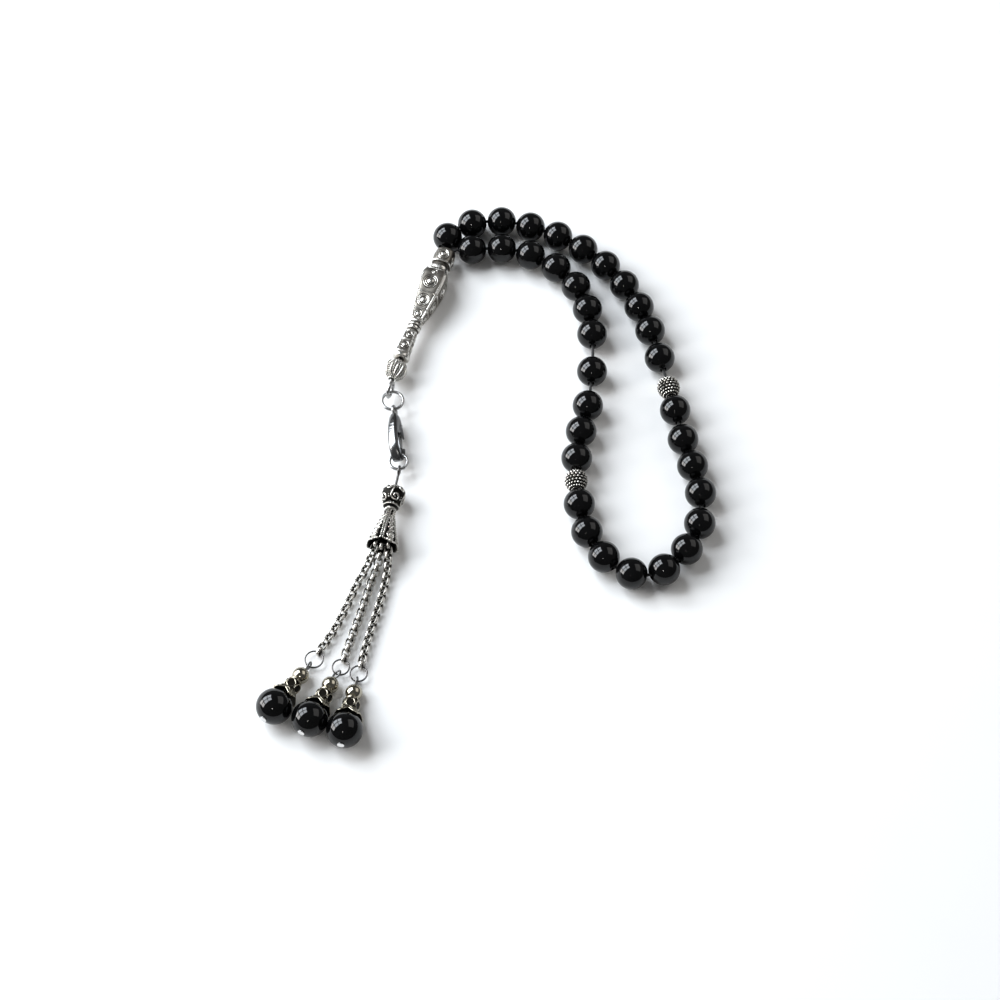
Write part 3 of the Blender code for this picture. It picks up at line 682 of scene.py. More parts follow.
def make_melon():
    """The ribbed ball under the leader: plain ribs with lines of granules between them."""
    lon = np.linspace(0, math.tau, 360, endpoint=False)
    lat, phi = np.meshgrid(np.linspace(MELON_EDGE, -MELON_EDGE, 110), lon, indexing="ij")
    phase = np.mod(phi * MELON_RIBS / math.tau, 1.0) - 0.5
    rib = np.clip(1 - (np.abs(phase) / 0.25) ** 2.4, 0, 1)
    line = np.clip(1 - ((np.abs(phase) - 0.5) / 0.16) ** 2, 0, 1) ** 0.5
    granules = np.abs(np.cos(lat * 15)) ** 0.7
    fade = smoothstep(0.24, 0.45, np.cos(lat))
    height = fade * (MELON_RIB_HEIGHT * rib + 0.36 * line * granules)
    r = MELON_R - MELON_RIB_HEIGHT + height + (1 - fade) * 0.2
    mouth = r[0, 0] * math.sin(MELON_EDGE)
    bore = polar(0.6, lon, np.array([[-mouth], [mouth]]))
    relief = np.concatenate([smoothstep(0.03, 0.24, height), np.full((2, len(lon)), 0.15)])
    form = Form()
    form.grid(np.concatenate([polar(r * np.cos(lat), phi, r * np.sin(lat)), bore]), relief, wrap_u=True)
    for end in (1, -1):
        form.sweep(circle(0.98, 40) + (0, 0, end * (mouth + 0.02)), 0.2, 8, closed=True, relief=0.85)
    place = aimed(place_of("leader_ball_spin"), -LEADER_DIR)
    form.piece("ribbed_ball", "leader_ball", SILVER, place, ["leader_ball"], sharp=70)


LEADER_PIN_HEAD = [(0.0, -12.0), (0.9, -12.05), (1.3, -12.4), (1.25, -12.9), (0.0, -12.95)]


def make_leader_pin():
    """One thick wire: a head inside the leader, a shank, and an eye bent round to meet it."""
    top = LEADER_TOP / MM
    hang = Matrix.Rotation(LEADER_EYE_TURN, 3, "Z") @ LEADER_DIR
    end = top + LEADER_DIR * LEADER_PIN_END
    eye = aimed(end + hang * LEADER_EYE_R, LEADER_DIR.cross(UP))
    away = math.degrees(math.atan2(-(hang @ eye.col[1].xyz), -(hang @ eye.col[0].xyz)))
    loop = carried(eye, circle(LEADER_EYE_R, 60, away + 12, away + 352, closed=False))
    head = -LEADER_PIN_HEAD[-2][1]
    shank = [tuple(top + LEADER_DIR * d) for d in np.linspace(head, LEADER_PIN_END - 0.5, 12)]
    form = Form()
    form.sweep(evenly([*shank, *loop], 0.16), LEADER_PIN_R, 16, relief=0.9)
    form.lathe(LEADER_PIN_HEAD, 32, relief=0.4, place=aimed(top, -LEADER_DIR))
    form.piece("leader_eye", "strand", STEEL, nodes=["leader_pin"])


# ---- rings and clasp


SPLIT_GAP = 0.05


def make_ring(node, radius, wire, finish, split, tail=0.0):
    """A wire hoop cut through at one place, its ends a hair apart. A tail runs on past the cut."""
    gap = math.degrees(SPLIT_GAP / radius)
    hoop = circle(radius, 96, split + gap, split + 360 - gap, closed=False)
    if tail:
        last = math.radians(split - gap)
        ahead = np.array((-math.sin(last), math.cos(last), 0.0))
        hoop = np.concatenate([hoop, hoop[-1] + np.outer(np.linspace(0.1, 1, 6), ahead) * tail])
    form = Form()
    form.sweep(hoop, wire, 16)
    form.piece(f"split_{node}", node, finish, Matrix.Translation(middle(node)), [node])


def clasp_place():
    """Local X along the clasp from its loop to its nose, Y towards its spine, Z square to its broad face."""
    z = axis_of("clasp_lever_turn")
    x = UP.cross(z).normalized()
    return Matrix.Translation(place_of("clasp_swing")) @ Matrix((x, z.cross(x), z)).transposed().to_4x4()


def rounded_plate(name, outline, half, edge):
    """A flat piece between two heights with its edges rounded, as a mesh."""
    curve = bpy.data.curves.new(name, "CURVE")
    curve.dimensions = "2D"
    curve.fill_mode = "BOTH"
    curve.extrude = (half - edge) * MM
    curve.bevel_depth = edge * MM
    curve.bevel_resolution = 4
    curve.offset = -edge * MM
    curve.resolution_u = 14
    spline = curve.splines.new("BEZIER")
    spline.bezier_points.add(len(outline) - 1)
    spline.use_cyclic_u = True
    for knot, (x, y) in zip(spline.bezier_points, outline):
        knot.co = (x * MM, y * MM, 0.0)
        knot.handle_left_type = "VECTOR"
        knot.handle_right_type = "VECTOR"
    obj = bpy.data.objects.new(name, curve)
    bpy.context.scene.collection.objects.link(obj)
    bpy.context.view_layer.update()
    graph = bpy.context.evaluated_depsgraph_get()
    mesh = bpy.data.meshes.new_from_object(obj.evaluated_get(graph))
    bpy.data.objects.remove(obj)
    bpy.data.curves.remove(curve)
    bm = bmesh.new()
    bm.from_mesh(mesh)
    bmesh.ops.remove_doubles(bm, verts=bm.verts, dist=1e-6)
    bmesh.ops.recalc_face_normals(bm, faces=bm.faces)
    bm.to_mesh(mesh)
    bm.free()
    return mesh


def block(name, low, high):
    bm = bmesh.new()
    bmesh.ops.create_cube(bm, size=1.0)
    for v in bm.verts:
        v.co = Vector([(a + b) / 2 + c * (b - a) for a, b, c in zip(low, high, v.co)]) * MM
    mesh = bpy.data.meshes.new(name)
    bm.to_mesh(mesh)
    bm.free()
    return mesh


def cut(obj, mesh):
    """Takes a closed mesh away from an object's own, at once."""
    tool = bpy.data.objects.new("tool", mesh)
    bpy.context.scene.collection.objects.link(tool)
    tool.matrix_world = obj.matrix_world
    modifier = obj.modifiers.new("cut", "BOOLEAN")
    modifier.operation = "DIFFERENCE"
    modifier.solver = "EXACT"
    modifier.object = tool
    bpy.context.view_layer.update()
    graph = bpy.context.evaluated_depsgraph_get()
    result = bpy.data.meshes.new_from_object(obj.evaluated_get(graph))
    obj.modifiers.clear()
    obj.data = result
    bpy.data.objects.remove(tool)


def finish_mesh(obj, finish, relief):
    """Gives a cut mesh its material, and a relief worked out from each point's place in millimetres."""
    mesh = obj.data
    points = np.array([v.co for v in mesh.vertices]) / MM
    attribute = mesh.attributes.get("relief") or mesh.attributes.new("relief", "FLOAT", "POINT")
    attribute.data.foreach_set("value", relief(points).astype(np.float32))
    dress(mesh, finish, sharp=35)


CLASP_HALF_T = 1.3
CLASP_CENTRE = np.array((10.6, 0.1))
CLASP_EDGE = [
    (1.2, 0.9), (4.2, 2.5), (8.4, 3.2), (12.9, 2.6), (15.4, 0.0), (13.4, -2.5), (8.4, -3.1), (4.2, -2.4),
    (1.2, -0.9),
]
CLASP_OPENING = [
    (7.2, 0.0), (8.5, 1.6), (11.7, 1.7), (14.1, 0.9), (14.5, -0.1), (13.6, -1.2), (11.0, -1.6), (8.3, -1.2),
]
CLASP_ARM = [
    (2.8, -0.5), (3.0, -2.9), (3.9, -2.95), (4.8, -2.2), (7.8, -2.75), (10.7, -2.7), (10.7, -1.7),
    (7.8, -1.4), (5.7, -0.1), (3.9, 0.3),
]
CLASP_NECK = [(0.0, 1.9), (0.42, 1.86), (0.5, 1.2), (0.62, 0.5), (0.62, 0.0), (0.0, 0.0)]
CLASP_SLOT = ((2.4, -4.0, -0.72), (8.2, 0.9, 0.72))
CLASP_MOUTH = ((7.6, -4.0, -2.0), (11.0, -0.6, 2.0))
LEVER_AXLE = (4.6, -0.9, 0.0)
SPRING_R = 0.68
SPRING_Z = 0.56


def reach_at(outline, centre, angles):
    """How far a closed outline lies from a point inside it, in each of the given directions."""
    steps = 24
    knots = [Vector((x, y, 0.0)) for x, y in outline]
    curve = np.array([tuple(v) for v in smooth_curve([*knots, *knots[:3]], steps)])
    curve = curve[steps:steps * (len(knots) + 2), :2] - centre
    bearing = np.arctan2(curve[:, 1], curve[:, 0])
    order = np.argsort(bearing)
    return np.interp(angles, bearing[order], np.hypot(*curve[order].T), period=math.tau)


def claw_mesh():
    """The clasp's body as a ring of rounded bar, broad at its loop and slim round the hook."""
    angles = np.linspace(-math.pi, math.pi, 260, endpoint=False)
    way = np.stack([np.cos(angles), np.sin(angles)], -1)
    outer = CLASP_CENTRE + way * reach_at(CLASP_EDGE, CLASP_CENTRE, angles)[:, None]
    inner = CLASP_CENTRE + way * reach_at(CLASP_OPENING, CLASP_CENTRE, angles)[:, None]
    section = np.linspace(0, math.tau, 32, endpoint=False)
    wide = signed_power(np.cos(section), 0.85)
    thick = signed_power(np.sin(section), 0.8) * CLASP_HALF_T
    flat = (outer + inner)[:, None] / 2 + (outer - inner)[:, None] / 2 * wide[None, :, None]
    form = Form()
    form.grid(np.concatenate([flat, np.broadcast_to(thick[:, None], (*flat.shape[:2], 1))], -1), wrap_u=True)
    return form.mesh("clasp_claw")


def make_claw(place):
    """The body, slotted for the lever and open at the mouth that the lever closes."""
    body = show("clasp_claw", claw_mesh(), "clasp", place, ["clasp_body"])
    cut(body, block("slot", *CLASP_SLOT))
    cut(body, block("mouth", *CLASP_MOUTH))
    # The broad faces are painted darker than the rounded edges: painted shade on the faces and a painted
    # highlight along the edges.
    finish_mesh(body, CLASP_STEEL, lambda p: 0.66 - 0.38 * smoothstep(0.85, 1.2, np.abs(p[:, 2])))


def make_clasp():
    place = clasp_place()
    make_claw(place)

    loop = Form()
    loop.sweep(circle(1.2, 56), 0.4, 16, closed=True)
    neck = Matrix.Translation((0.35, 0.0, 0.0)) @ Matrix.Rotation(math.pi / 2, 4, "Y")
    loop.lathe(CLASP_NECK, 24, relief=0.8, place=neck)
    loop.piece("clasp_loop", "clasp", STEEL, place)

    plate = rounded_plate("clasp_trigger", CLASP_ARM, 0.5, 0.14)
    lever = show("clasp_trigger", plate, "clasp_lever", place, ["clasp_lever"])
    finish_mesh(lever, CLASP_STEEL, lambda p: smoothstep(-3.2, -0.4, -np.abs(p[:, 1])) * 0.4 + 0.5)

    rivet = Form()
    for end in (1, -1):
        half = [(0.0, end * 1.52), (0.3, end * 1.47), (0.52, end * 1.33), (0.5, end * 1.2), (0.4, end * 0.6),
                (0.4, 0.0)]
        rivet.lathe(half, 28, relief=0.9, place=Matrix.Translation(LEVER_AXLE))
    rivet.piece("clasp_pin", "clasp", STEEL, place, ["clasp_rivet"])

    turns = np.linspace(0, 2 * math.tau, 60)
    spring = Form()
    spring.sweep(polar(SPRING_R, turns, SPRING_Z + 0.1 * turns / turns[-1]) + LEVER_AXLE, 0.05, 7, relief=0.7)
    spring.piece("lever_spring", "clasp", STEEL, place, ["clasp_spring"])


# ---- tassel head


def make_tassel_pin():
    """One dark wire: an eye, a stem through the ball and the cone, and a level loop inside the cone."""
    side = HEAD_DIR.cross(UP).normalized()
    eye = aimed(HEAD_AT / MM, side)
    up = math.degrees(math.atan2(HEAD_DIR @ eye.col[1].xyz, HEAD_DIR @ eye.col[0].xyz))
    loop = carried(eye, circle(HEAD_EYE_R, 40, up + 350, up + 12, closed=False))
    depths = np.linspace(HEAD_EYE_R + 0.3, HANGER_DEPTH - HANGER_R, 14)
    stem = [tuple(HEAD_AT / MM + HEAD_DIR * d) for d in depths]
    form = Form()
    form.sweep(evenly([*loop, *stem], 0.14), HEAD_WIRE_R, 14)
    hanger = aimed((HEAD_AT / MM) + HEAD_DIR * HANGER_DEPTH, side.cross(HEAD_DIR))
    form.sweep(circle(HANGER_R, 48), HEAD_WIRE_R, 12, closed=True, place=hanger)
    form.piece("tassel_wire", "tassel_pin", DARK_WIRE, nodes=["tassel_pin"])


def paired_scrolls(reach, inner, turns, apart):
    """Two spirals joined by a straight stroke between them, the same upside down, centred on the origin."""
    centre = np.array(apart)
    away = np.hypot(*centre)
    leave = math.atan2(-centre[1], -centre[0]) + math.acos(reach / away)
    share = np.linspace(0, 1, 40)
    angle = leave + math.tau * turns * (1 - share)
    radius = (inner + (reach - inner) * share)[:, None]
    first = centre + radius * np.stack([np.cos(angle), np.sin(angle)], -1)
    return evenly(np.pad(np.concatenate([first, -first[::-1]]), ((0, 0), (0, 1))), 0.12)[:, :2]


def on_ball(points, radius, longitude):
    """Flat points wrapped on a ball about a place on its equator."""
    lat = points[:, 1] / radius
    lon = longitude + points[:, 0] / radius / np.maximum(np.cos(lat), 0.35)
    return radius * polar(np.cos(lat), lon, np.sin(lat))


SCROLLS = 5
SCROLL_SHELL_R = SCROLL_R - 0.34
SCROLL_WIRE_R = 0.21
SCROLL_BORE_R = 0.5
SCROLL_FOOT = -SCROLL_SHELL_R * 0.93
SCROLL_COLLAR = -SCROLL_SHELL_R * 0.9


def make_scroll_ball():
    """A dark ball under raised scrolls, with granules among them and roped rings at its ends."""
    form = Form()
    shell = SCROLL_SHELL_R
    end = shell * 0.97
    ball = [*arc(shell, 79, -79, 40), (SCROLL_BORE_R, -end), (SCROLL_BORE_R, end)]
    form.lathe(ball, 64, closed=True, relief=0.12)
    curls = paired_scrolls(1.2, 0.2, 1.3, (-0.98, 1.3))
    for i in range(SCROLLS):
        lon = math.tau * i / SCROLLS
        form.sweep(on_ball(curls, shell + 0.1, lon), SCROLL_WIRE_R, 9)
        for dx, dy, size in ((0.75, 1.75, 0.25), (0.85, 1.1, 0.16)):
            for flip in (1, -1):
                at = np.array([[dx * flip, dy * flip]])
                form.ball(on_ball(at, shell + 0.04, lon)[0], size, 10)
    for lat, count, size in ((70, 12, 0.2), (-66, 13, 0.22)):
        a = math.radians(lat)
        for i in range(count):
            at = (shell + 0.08) * polar(math.cos(a), math.tau * i / count, math.sin(a))
            form.ball(at, size, 9, relief=0.85)
    form.rope(circle(0.95, 60) + (0, 0, shell * 0.96), 0.2, 0.8, closed=True, relief=0.85)
    for z, r in ((SCROLL_FOOT, 1.7), (SCROLL_FOOT - 0.42, 1.95)):
        form.rope(circle(r, 90) + (0, 0, z), 0.2, 0.8, closed=True, relief=0.85)
    foot = [(SCROLL_BORE_R, SCROLL_COLLAR), (1.7, SCROLL_COLLAR), (2.0, -shell - 0.25), (1.9, -shell - 0.42),
            (SCROLL_BORE_R, -shell - 0.4)]
    form.lathe(foot, 48, closed=True, relief=0.15)

    def height(p):
        foot_height = np.hypot(p[:, 0], p[:, 1]) - 1.85
        return np.where(p[:, 2] < SCROLL_COLLAR, foot_height, np.linalg.norm(p, axis=1) - shell)

    form.wear(lambda p: 0.07 + 0.93 * smoothstep(0.02, 0.22, height(p)))
    place = aimed(HEAD_AT + HEAD_DIR * SCROLL_DEPTH * MM, -HEAD_DIR)
    form.piece("filigree_ball", "scroll_ball", GUNMETAL, place, ["scroll_ball"])


PETALS = 5
CONE_PROFILE = [
    (0.0, 1.3), (0.6, 1.22), (1.4, 1.2), (3.6, 1.75), (6.6, 2.6), (9.2, 3.35), (10.4, 3.56), (11.4, 3.75),
]
CONE_THICKNESS = 0.32
CONE_BORE_R = 0.6
ROPE_PITCH = 1.4
MEDALLION = 9.15
WAVE_TOP = 2.4
WAVE_FOOT = 7.75
WAVE_PITCH = 1.55


def cone_surface(depth, angle, lift=0.0):
    """Points on the fluted cone at a depth below its top and an angle round it."""
    swell = -0.17 * smoothstep(2.0, 11.0, depth) * np.cos(PETALS * angle)
    r = profile(depth, CONE_PROFILE) + swell + lift
    return polar(r, angle, -(CONE_TOP + depth))


def hem_depth(angle):
    """How deep the scalloped hem reaches: each petal ends in a point."""
    phase = np.abs(np.mod(angle * PETALS / math.tau, 1.0) - 0.5) * 2
    return CONE_HEM - CONE_TOP - 0.6 + 0.85 * (1 - phase) ** 0.8


def on_petal(centre, across, depth, lift=0.0):
    """A place on a petal, given in millimetres to the side of its midline."""
    return cone_surface(depth, centre + across / profile(depth, CONE_PROFILE), lift)


def wave_width(depth):
    return 0.12 + 0.085 * depth


def add_petal(form, centre):
    """One petal's wirework: its roped edges, a spiral near its hem, and a wave of wire above that."""
    valley = centre + math.pi / PETALS
    down = np.linspace(0.9, float(hem_depth(np.array(valley))) - 0.1, 70)
    for side in (-1, 1):
        turn = valley + side * 0.3 / profile(down, CONE_PROFILE)
        form.rope(cone_surface(down, turn, 0.1), 0.3, ROPE_PITCH)
        swing = centre + side * np.linspace(math.pi / PETALS - 0.05, 0.0, 26)
        form.rope(cone_surface(hem_depth(swing) - 0.14, swing, 0.1), 0.28, ROPE_PITCH)

    spin = np.linspace(0.4, 1.8 * math.tau, 60)
    grow = 0.12 + 1.02 * spin / spin[-1]
    spiral = on_petal(centre, grow * np.cos(spin), MEDALLION + grow * np.sin(spin), 0.1)
    form.sweep(spiral, 0.22, 8)
    form.ball(on_petal(centre, 0.0, np.array(MEDALLION), 0.1), 0.26, 10)

    rise = np.linspace(WAVE_TOP, WAVE_FOOT, 80)
    wave = wave_width(rise) * np.sin((rise - WAVE_TOP) * math.tau / WAVE_PITCH)
    form.sweep(on_petal(centre, wave, rise, 0.09), 0.19, 8)
    for k in range(7):
        at = WAVE_TOP + WAVE_PITCH * (k + 0.5) / 2
        bend = -0.8 * wave_width(at) * (1 if k % 2 == 0 else -1)
        form.ball(on_petal(centre, bend * 0.5, np.array(at), 0.08), 0.13 + 0.016 * at, 9)
    for across in (-0.55, 0.0, 0.55):
        form.ball(on_petal(centre, across, np.array(10.55 - 0.6 * abs(across)), 0.06), 0.17, 8)


def make_cone():
    """A fluted cone of five petals under wirework, hollow so that the chains can hang from inside it."""
    angle = np.linspace(0, math.tau, 200, endpoint=False)
    s, phi = np.meshgrid(np.linspace(0, 1, 70), angle, indexing="ij")
    depth = s * hem_depth(phi)
    inside = cone_surface(depth * 0.985, phi, -CONE_THICKNESS)
    inner_r = np.hypot(inside[..., 0], inside[..., 1])
    inside[..., :2] *= (np.maximum(inner_r, CONE_BORE_R) / inner_r)[..., None]
    form = Form()
    form.grid(np.concatenate([cone_surface(depth, phi), inside[::-1]]), wrap_u=True)
    for i in range(PETALS):
        add_petal(form, math.tau * (i + 0.5) / PETALS)
    for z, r in ((0.15, 1.32), (0.6, 1.4)):
        form.rope(circle(r, 70) - (0, 0, CONE_TOP + z), 0.22, 0.9, closed=True)

    def height(p):
        depth = np.clip(-p[:, 2] - CONE_TOP, 0.0, 11.3)
        return np.hypot(p[:, 0], p[:, 1]) - profile(depth, CONE_PROFILE)

    form.wear(lambda p: 0.07 + 0.93 * smoothstep(0.02, 0.2, height(p)))
    form.piece("filigree_cone", "cone_cap", GUNMETAL, aimed(HEAD_AT, -HEAD_DIR), ["cone_cap"])


# ---- chains


LINK_LONG = 0.97
LINK_WIDE = 0.98
LINK_WIRE = 0.25
LINK_DEEP = 0.42
CHAIN_TOP_GAP = 0.15
CHAIN_FOOT_GAP = 0.13
FLOOR_CLEARANCE = 0.13
CHAIN_LEAN = {"left": 45.0, "middle": -4.0, "right": 42.0}


def link_loop():
    """A link's centreline: a rounded square, a little longer than it is wide."""
    a = np.linspace(0, math.tau, 28, endpoint=False)
    power = 2 / 3.2
    return np.stack([LINK_WIDE * signed_power(np.cos(a), power), LINK_LONG * signed_power(np.sin(a), power),
                     np.zeros_like(a)], -1)


def make_chain(side):
    """Interlocked links, each a quarter turn from the next, from the hanger loop to the drop ring."""
    swing = "lift" if side == "middle" else "swing"
    top = place_of(f"chain_{side}_{swing}") / MM
    bottom = place_of(f"drop_ring_{side}_{swing}") / MM
    route = [Vector(point) for point in CHAIN_ROUTES[side]]
    first = (route[0] - top).normalized()
    last = (route[-1] - bottom).normalized()
    level = Vector((first.x, first.y, 0.0))
    knots = [top + level * CHAIN_TOP_GAP, *route, bottom + last * CHAIN_FOOT_GAP]
    path = np.array([tuple(p) for p in smooth_curve(knots, 30)])
    length = lengths_along(path)[-1]
    count = round(length / (2 * (LINK_LONG - LINK_WIRE)))
    count += count % 2
    centres = at_lengths(path, np.linspace(0, length, count + 1))
    lowest = (LINK_WIDE + LINK_WIRE) * math.cos(math.radians(CHAIN_LEAN[side]) * 0.6) + FLOOR_CLEARANCE
    centres[:-1, 2] = np.maximum(centres[:-1, 2], lowest)
    ahead = np.gradient(centres, axis=0)
    loop = link_loop()
    section = np.linspace(0, math.tau, 12, endpoint=False)
    wear = np.tile(0.12 + 0.4 * (1 - np.cos(section)), (len(loop), 1))
    form = Form()
    for i, (at, along) in enumerate(zip(centres, ahead)):
        lean = CHAIN_LEAN[side] * math.sin(math.pi * i / count) ** 0.3
        roll = math.radians(lean + (90 if i % 2 else 0))
        y = Vector(along).normalized()
        x = UP.cross(y).normalized()
        turn = Matrix.Rotation(roll, 3, y)
        z = x.cross(y)
        link = Matrix((turn @ z, y, turn @ -x)).transposed().to_4x4()
        form.sweep(loop, LINK_DEEP, 12, closed=True, flat=LINK_WIRE / LINK_DEEP, relief=wear,
                   place=Matrix.Translation(at) @ link)
    form.piece(f"chain_links_{side}", f"chain_{side}", GUNMETAL, nodes=[f"chain_{side}"])


# ---- drops


STONE_EDGE = 82.0
FINIAL_BORE_R = 0.34
PIN_R = 0.25
PIN_FOOT = [(0.0, 0.1), (0.72, 0.08), (0.86, -0.02), (0.86, -0.14), (0.7, -0.25), (0.0, -0.3)]
CAP_PETALS = 5
CAP_NECK = [(FINIAL_BORE_R, 9.1), (1.2, 9.0), (1.3, 8.4), (1.1, 7.7), (1.05, 6.6), (1.4, 6.0),
            (FINIAL_BORE_R, 6.0)]
CAP_COLLARS = [(8.95, 1.42, 0.17), (8.5, 1.62, 0.19)]


def make_stone(side, place):
    mouth = DROP_R * math.cos(math.radians(STONE_EDGE)) - 0.08
    high = DROP_R * math.sin(math.radians(STONE_EDGE)) - 0.1
    stone = Form()
    stone.lathe([*arc(DROP_R, STONE_EDGE, -STONE_EDGE, 56), (mouth, -high), (mouth, high)], 88, closed=True)
    stone.piece(f"onyx_drop_{side}", f"drop_ball_{side}", ONYX, place, [f"drop_ball_{side}"])


def make_small_ball(side, place):
    ball = Form()
    bore = [(FINIAL_BORE_R, DROP_BALL_AT - 2.0), (FINIAL_BORE_R, DROP_BALL_AT + 2.0)]
    ball.lathe([*arc(DROP_BALL_R, 80, -80, 40, DROP_BALL_AT), *bore], 64, closed=True)
    finial = f"drop_finial_{side}"
    ball.piece(f"polished_ball_{side}", finial, PEWTER, place, [finial])


def make_drop_wire(side, place, along):
    """The headed pin: its flat foot, its stem, and the eye bent at its top."""
    eye_axis = Matrix.Rotation(math.radians(EYE_ROLL[side]), 3, along) @ along.cross(UP)
    facing = place.inverted().to_3x3() @ aimed((0, 0, 0), eye_axis).to_3x3()
    eye = Matrix.Translation((0, 0, DROP_EYE_AT)) @ facing.to_4x4()
    down = eye.to_3x3().inverted() @ Vector((0, 0, -1))
    start = math.degrees(math.atan2(down.y, down.x))
    loop = carried(eye, circle(DROP_EYE_R[side], 44, start + 350, start + 14, closed=False))
    stem = [(0.0, 0.0, z) for z in np.linspace(DROP_EYE_AT - DROP_EYE_R[side] - 0.3, -DROP_R - 0.1, 16)]
    wire = Form()
    wire.sweep(evenly([*loop, *stem], 0.14), PIN_R, 12, relief=0.3)
    wire.lathe([(r, z - DROP_R) for r, z in PIN_FOOT], 36, relief=1.0)
    wire.piece(f"drop_wire_{side}", f"drop_finial_{side}", PIN_STEEL, place)


def skirt(share, angle, lift=0.0):
    """The cap's skirt, from its neck down to a scalloped hem that stands off the ball at its tips."""
    wave = -np.cos(CAP_PETALS * angle)
    r = 1.45 + (1.85 + 0.32 * wave) * share**1.15
    z = 6.2 - (2.25 + 0.55 * wave) * share**1.5 + lift
    return polar(r, angle, z)


def make_petal_cap(side, place):
    """A stamped cap: a scalloped skirt edged with wire, hoops standing on it, and two collars at its neck."""
    turn = np.linspace(0, math.tau, 150, endpoint=False)
    s, phi = np.meshgrid(np.linspace(0, 1, 26), turn, indexing="ij")
    cap = Form()
    cap.grid(np.concatenate([skirt(s, phi), skirt(s, phi, -0.22)[::-1]]),
             np.concatenate([0.25 + 0.3 * smoothstep(0.6, 1.0, s), np.full(s.shape, 0.05)]), wrap_u=True)
    cap.sweep(skirt(1.0, turn, -0.08), 0.17, 9, closed=True)
    cap.sweep(skirt(0.72, turn, 0.05), 0.1, 8, closed=True, relief=0.8)
    cap.lathe(CAP_NECK, 48, closed=True, relief=0.1)
    for z, r, wire in CAP_COLLARS:
        cap.sweep(circle(r, 60) + (0, 0, z), wire, 10, closed=True)
    for i in range(CAP_PETALS):
        a = math.tau * i / CAP_PETALS
        out = Vector((math.cos(a), math.sin(a), -0.12)).normalized()
        hoop = aimed(Vector((1.8 * math.cos(a), 1.8 * math.sin(a), 6.95)), out)
        cap.sweep(circle(1.05, 36), 0.17, 9, closed=True, place=hoop)
        # A disc at the deepest colour fills each hoop: painted shade standing in for the dark inside of the
        # opening.
        cap.lathe([(0.0, 0.02), (1.0, 0.02), (1.0, -0.25), (0.0, -0.25)], 28, relief=0.0, place=hoop)
        tip = math.tau * (i + 0.5) / CAP_PETALS
        vein = skirt(np.linspace(0.02, 0.98, 20), tip, 0.05)
        cap.sweep(vein, np.linspace(0.13, 0.07, 20), 8, relief=0.8)
    cap.piece(f"petal_cap_{side}", f"drop_finial_{side}", PEWTER, place)


def make_drop(side):
    spin = f"drop_ball_{side}_spin"
    along = axis_of(spin)
    place = aimed(place_of(spin), along)
    make_stone(side, place)
    make_small_ball(side, place)
    make_drop_wire(side, place, along)
    make_petal_cap(side, place)


# ---- stage


CAMERA_AT = Vector((0.0014, -0.2481, 0.4109))
CAMERA_AIM = Vector((0.0014, -0.0132, 0.004))
CAMERA_LENS = 66.6


def make_camera():
    data = bpy.data.cameras.new("camera")
    data.lens = CAMERA_LENS
    data.sensor_width = 36.0
    camera = bpy.data.objects.new("camera", data)
    camera.location = CAMERA_AT
    camera.rotation_mode = "QUATERNION"
    camera.rotation_quaternion = (CAMERA_AIM - CAMERA_AT).to_track_quat("-Z", "Y")
    bpy.context.scene.collection.objects.link(camera)
    bpy.context.scene.camera = camera


def area_light(name, at, across, size, radiance, colour):
    """A rectangular light that faces the origin, with its long side along a given direction."""
    data = bpy.data.lights.new(name, "AREA")
    data.shape = "RECTANGLE"
    data.size, data.size_y = size
    data.energy = radiance * math.pi * size[0] * size[1]
    data.color = colour
    z = at.normalized()
    x = (across - across.dot(z) * z).normalized()
    light = bpy.data.objects.new(name, data)
    light.matrix_world = Matrix.Translation(at) @ Matrix((x, z.cross(x), z)).transposed().to_4x4()
    bpy.context.scene.collection.objects.link(light)


WINDOW_AT = Vector((-0.768, 0.272, 0.579))
WINDOW_ACROSS = Vector((0.624, 0.525, 0.576))
WINDOW_RADIANCE = 8.6
PANE = (0.38, 0.34)
PANE_PITCH = (0.44, 0.40)
WALL_AT = Vector((0.95, 0.5, 1.0))
LAMP_AT = Vector((-0.15, -0.72, 0.82))
LAMP_SIZE = (0.03, 0.03)


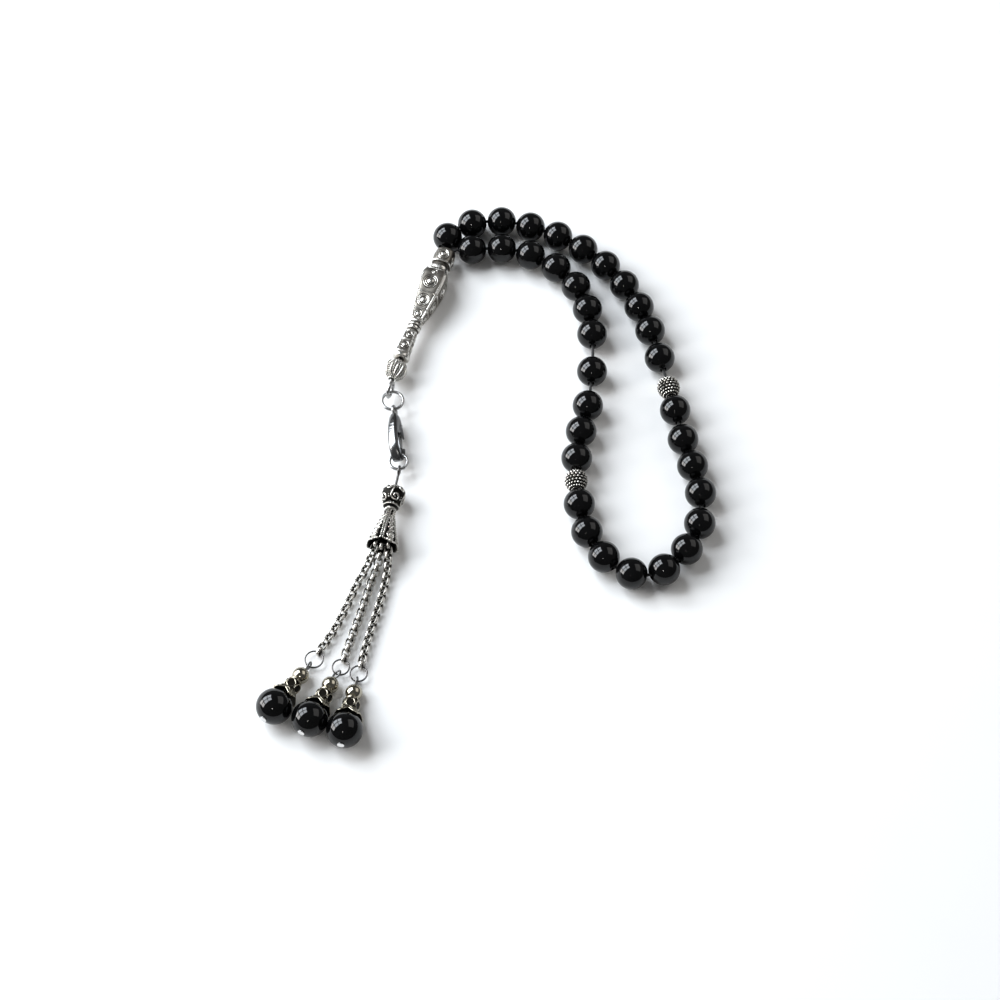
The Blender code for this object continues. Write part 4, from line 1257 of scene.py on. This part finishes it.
def make_light():
    """A paned window to the left, a dim wide panel to the right, and one small lamp."""
    up = WINDOW_AT.cross(WINDOW_ACROSS).normalized()
    for row in range(2):
        for column in range(3):
            across = WINDOW_ACROSS * (column - 1) * PANE_PITCH[0]
            at = WINDOW_AT + across + up * (row - 0.5) * PANE_PITCH[1]
            colour = (0.90, 0.95, 1.0) if column else (1.0, 0.99, 0.98)
            area_light(f"window_{row}_{column}", at, WINDOW_ACROSS, PANE, WINDOW_RADIANCE, colour)
    area_light("wall", WALL_AT, Vector((0, 1, 0)), (1.3, 0.9), 1.0, (1, 0.985, 0.96))
    area_light("lamp", LAMP_AT, Vector((1, 0, 0)), LAMP_SIZE, 160.0, (1, 0.97, 0.93))
    world = bpy.data.worlds.new("studio")
    bpy.context.scene.world = world
    world.use_nodes = True
    background = world.node_tree.nodes["Background"]
    background.inputs["Color"].default_value = (0.98, 0.99, 1.0, 1.0)
    background.inputs["Strength"].default_value = 0.14


FLOOR_Z = -0.00005
FLOOR_HALF = 3.0


def make_floor():
    bm = bmesh.new()
    bmesh.ops.create_grid(bm, x_segments=2, y_segments=2, size=FLOOR_HALF)
    mesh = bpy.data.meshes.new("floor")
    bm.to_mesh(mesh)
    bm.free()
    mesh.materials.append(paper_white("floor"))
    floor = bpy.data.objects.new("floor", mesh)
    floor.location.z = FLOOR_Z
    bpy.context.scene.collection.objects.link(floor)


def main():
    make_camera()
    make_cord()
    make_beads()
    make_divider("divider_1", "divider_1_slide")
    make_divider("divider_2", "divider_2_spin")
    make_leader()
    make_melon()
    make_leader_pin()
    make_ring("jump_ring", 2.75, 0.42, STEEL, split=205.0)
    make_clasp()
    make_ring("tassel_ring", 2.3, 0.38, STEEL, split=-68.0, tail=0.9)
    make_tassel_pin()
    make_scroll_ball()
    make_cone()
    for side in SIDES:
        make_chain(side)
        make_ring(f"drop_ring_{side}", DROP_RING_R[side], DROP_RING_WIRE_R, DARK_WIRE,
                  split=DROP_RING_SPLIT[side])
        make_drop(side)
    make_light()
    make_floor()
    bpy.context.scene.view_settings.view_transform = "Standard"
    bpy.context.scene.view_settings.look = "Medium High Contrast"


main()
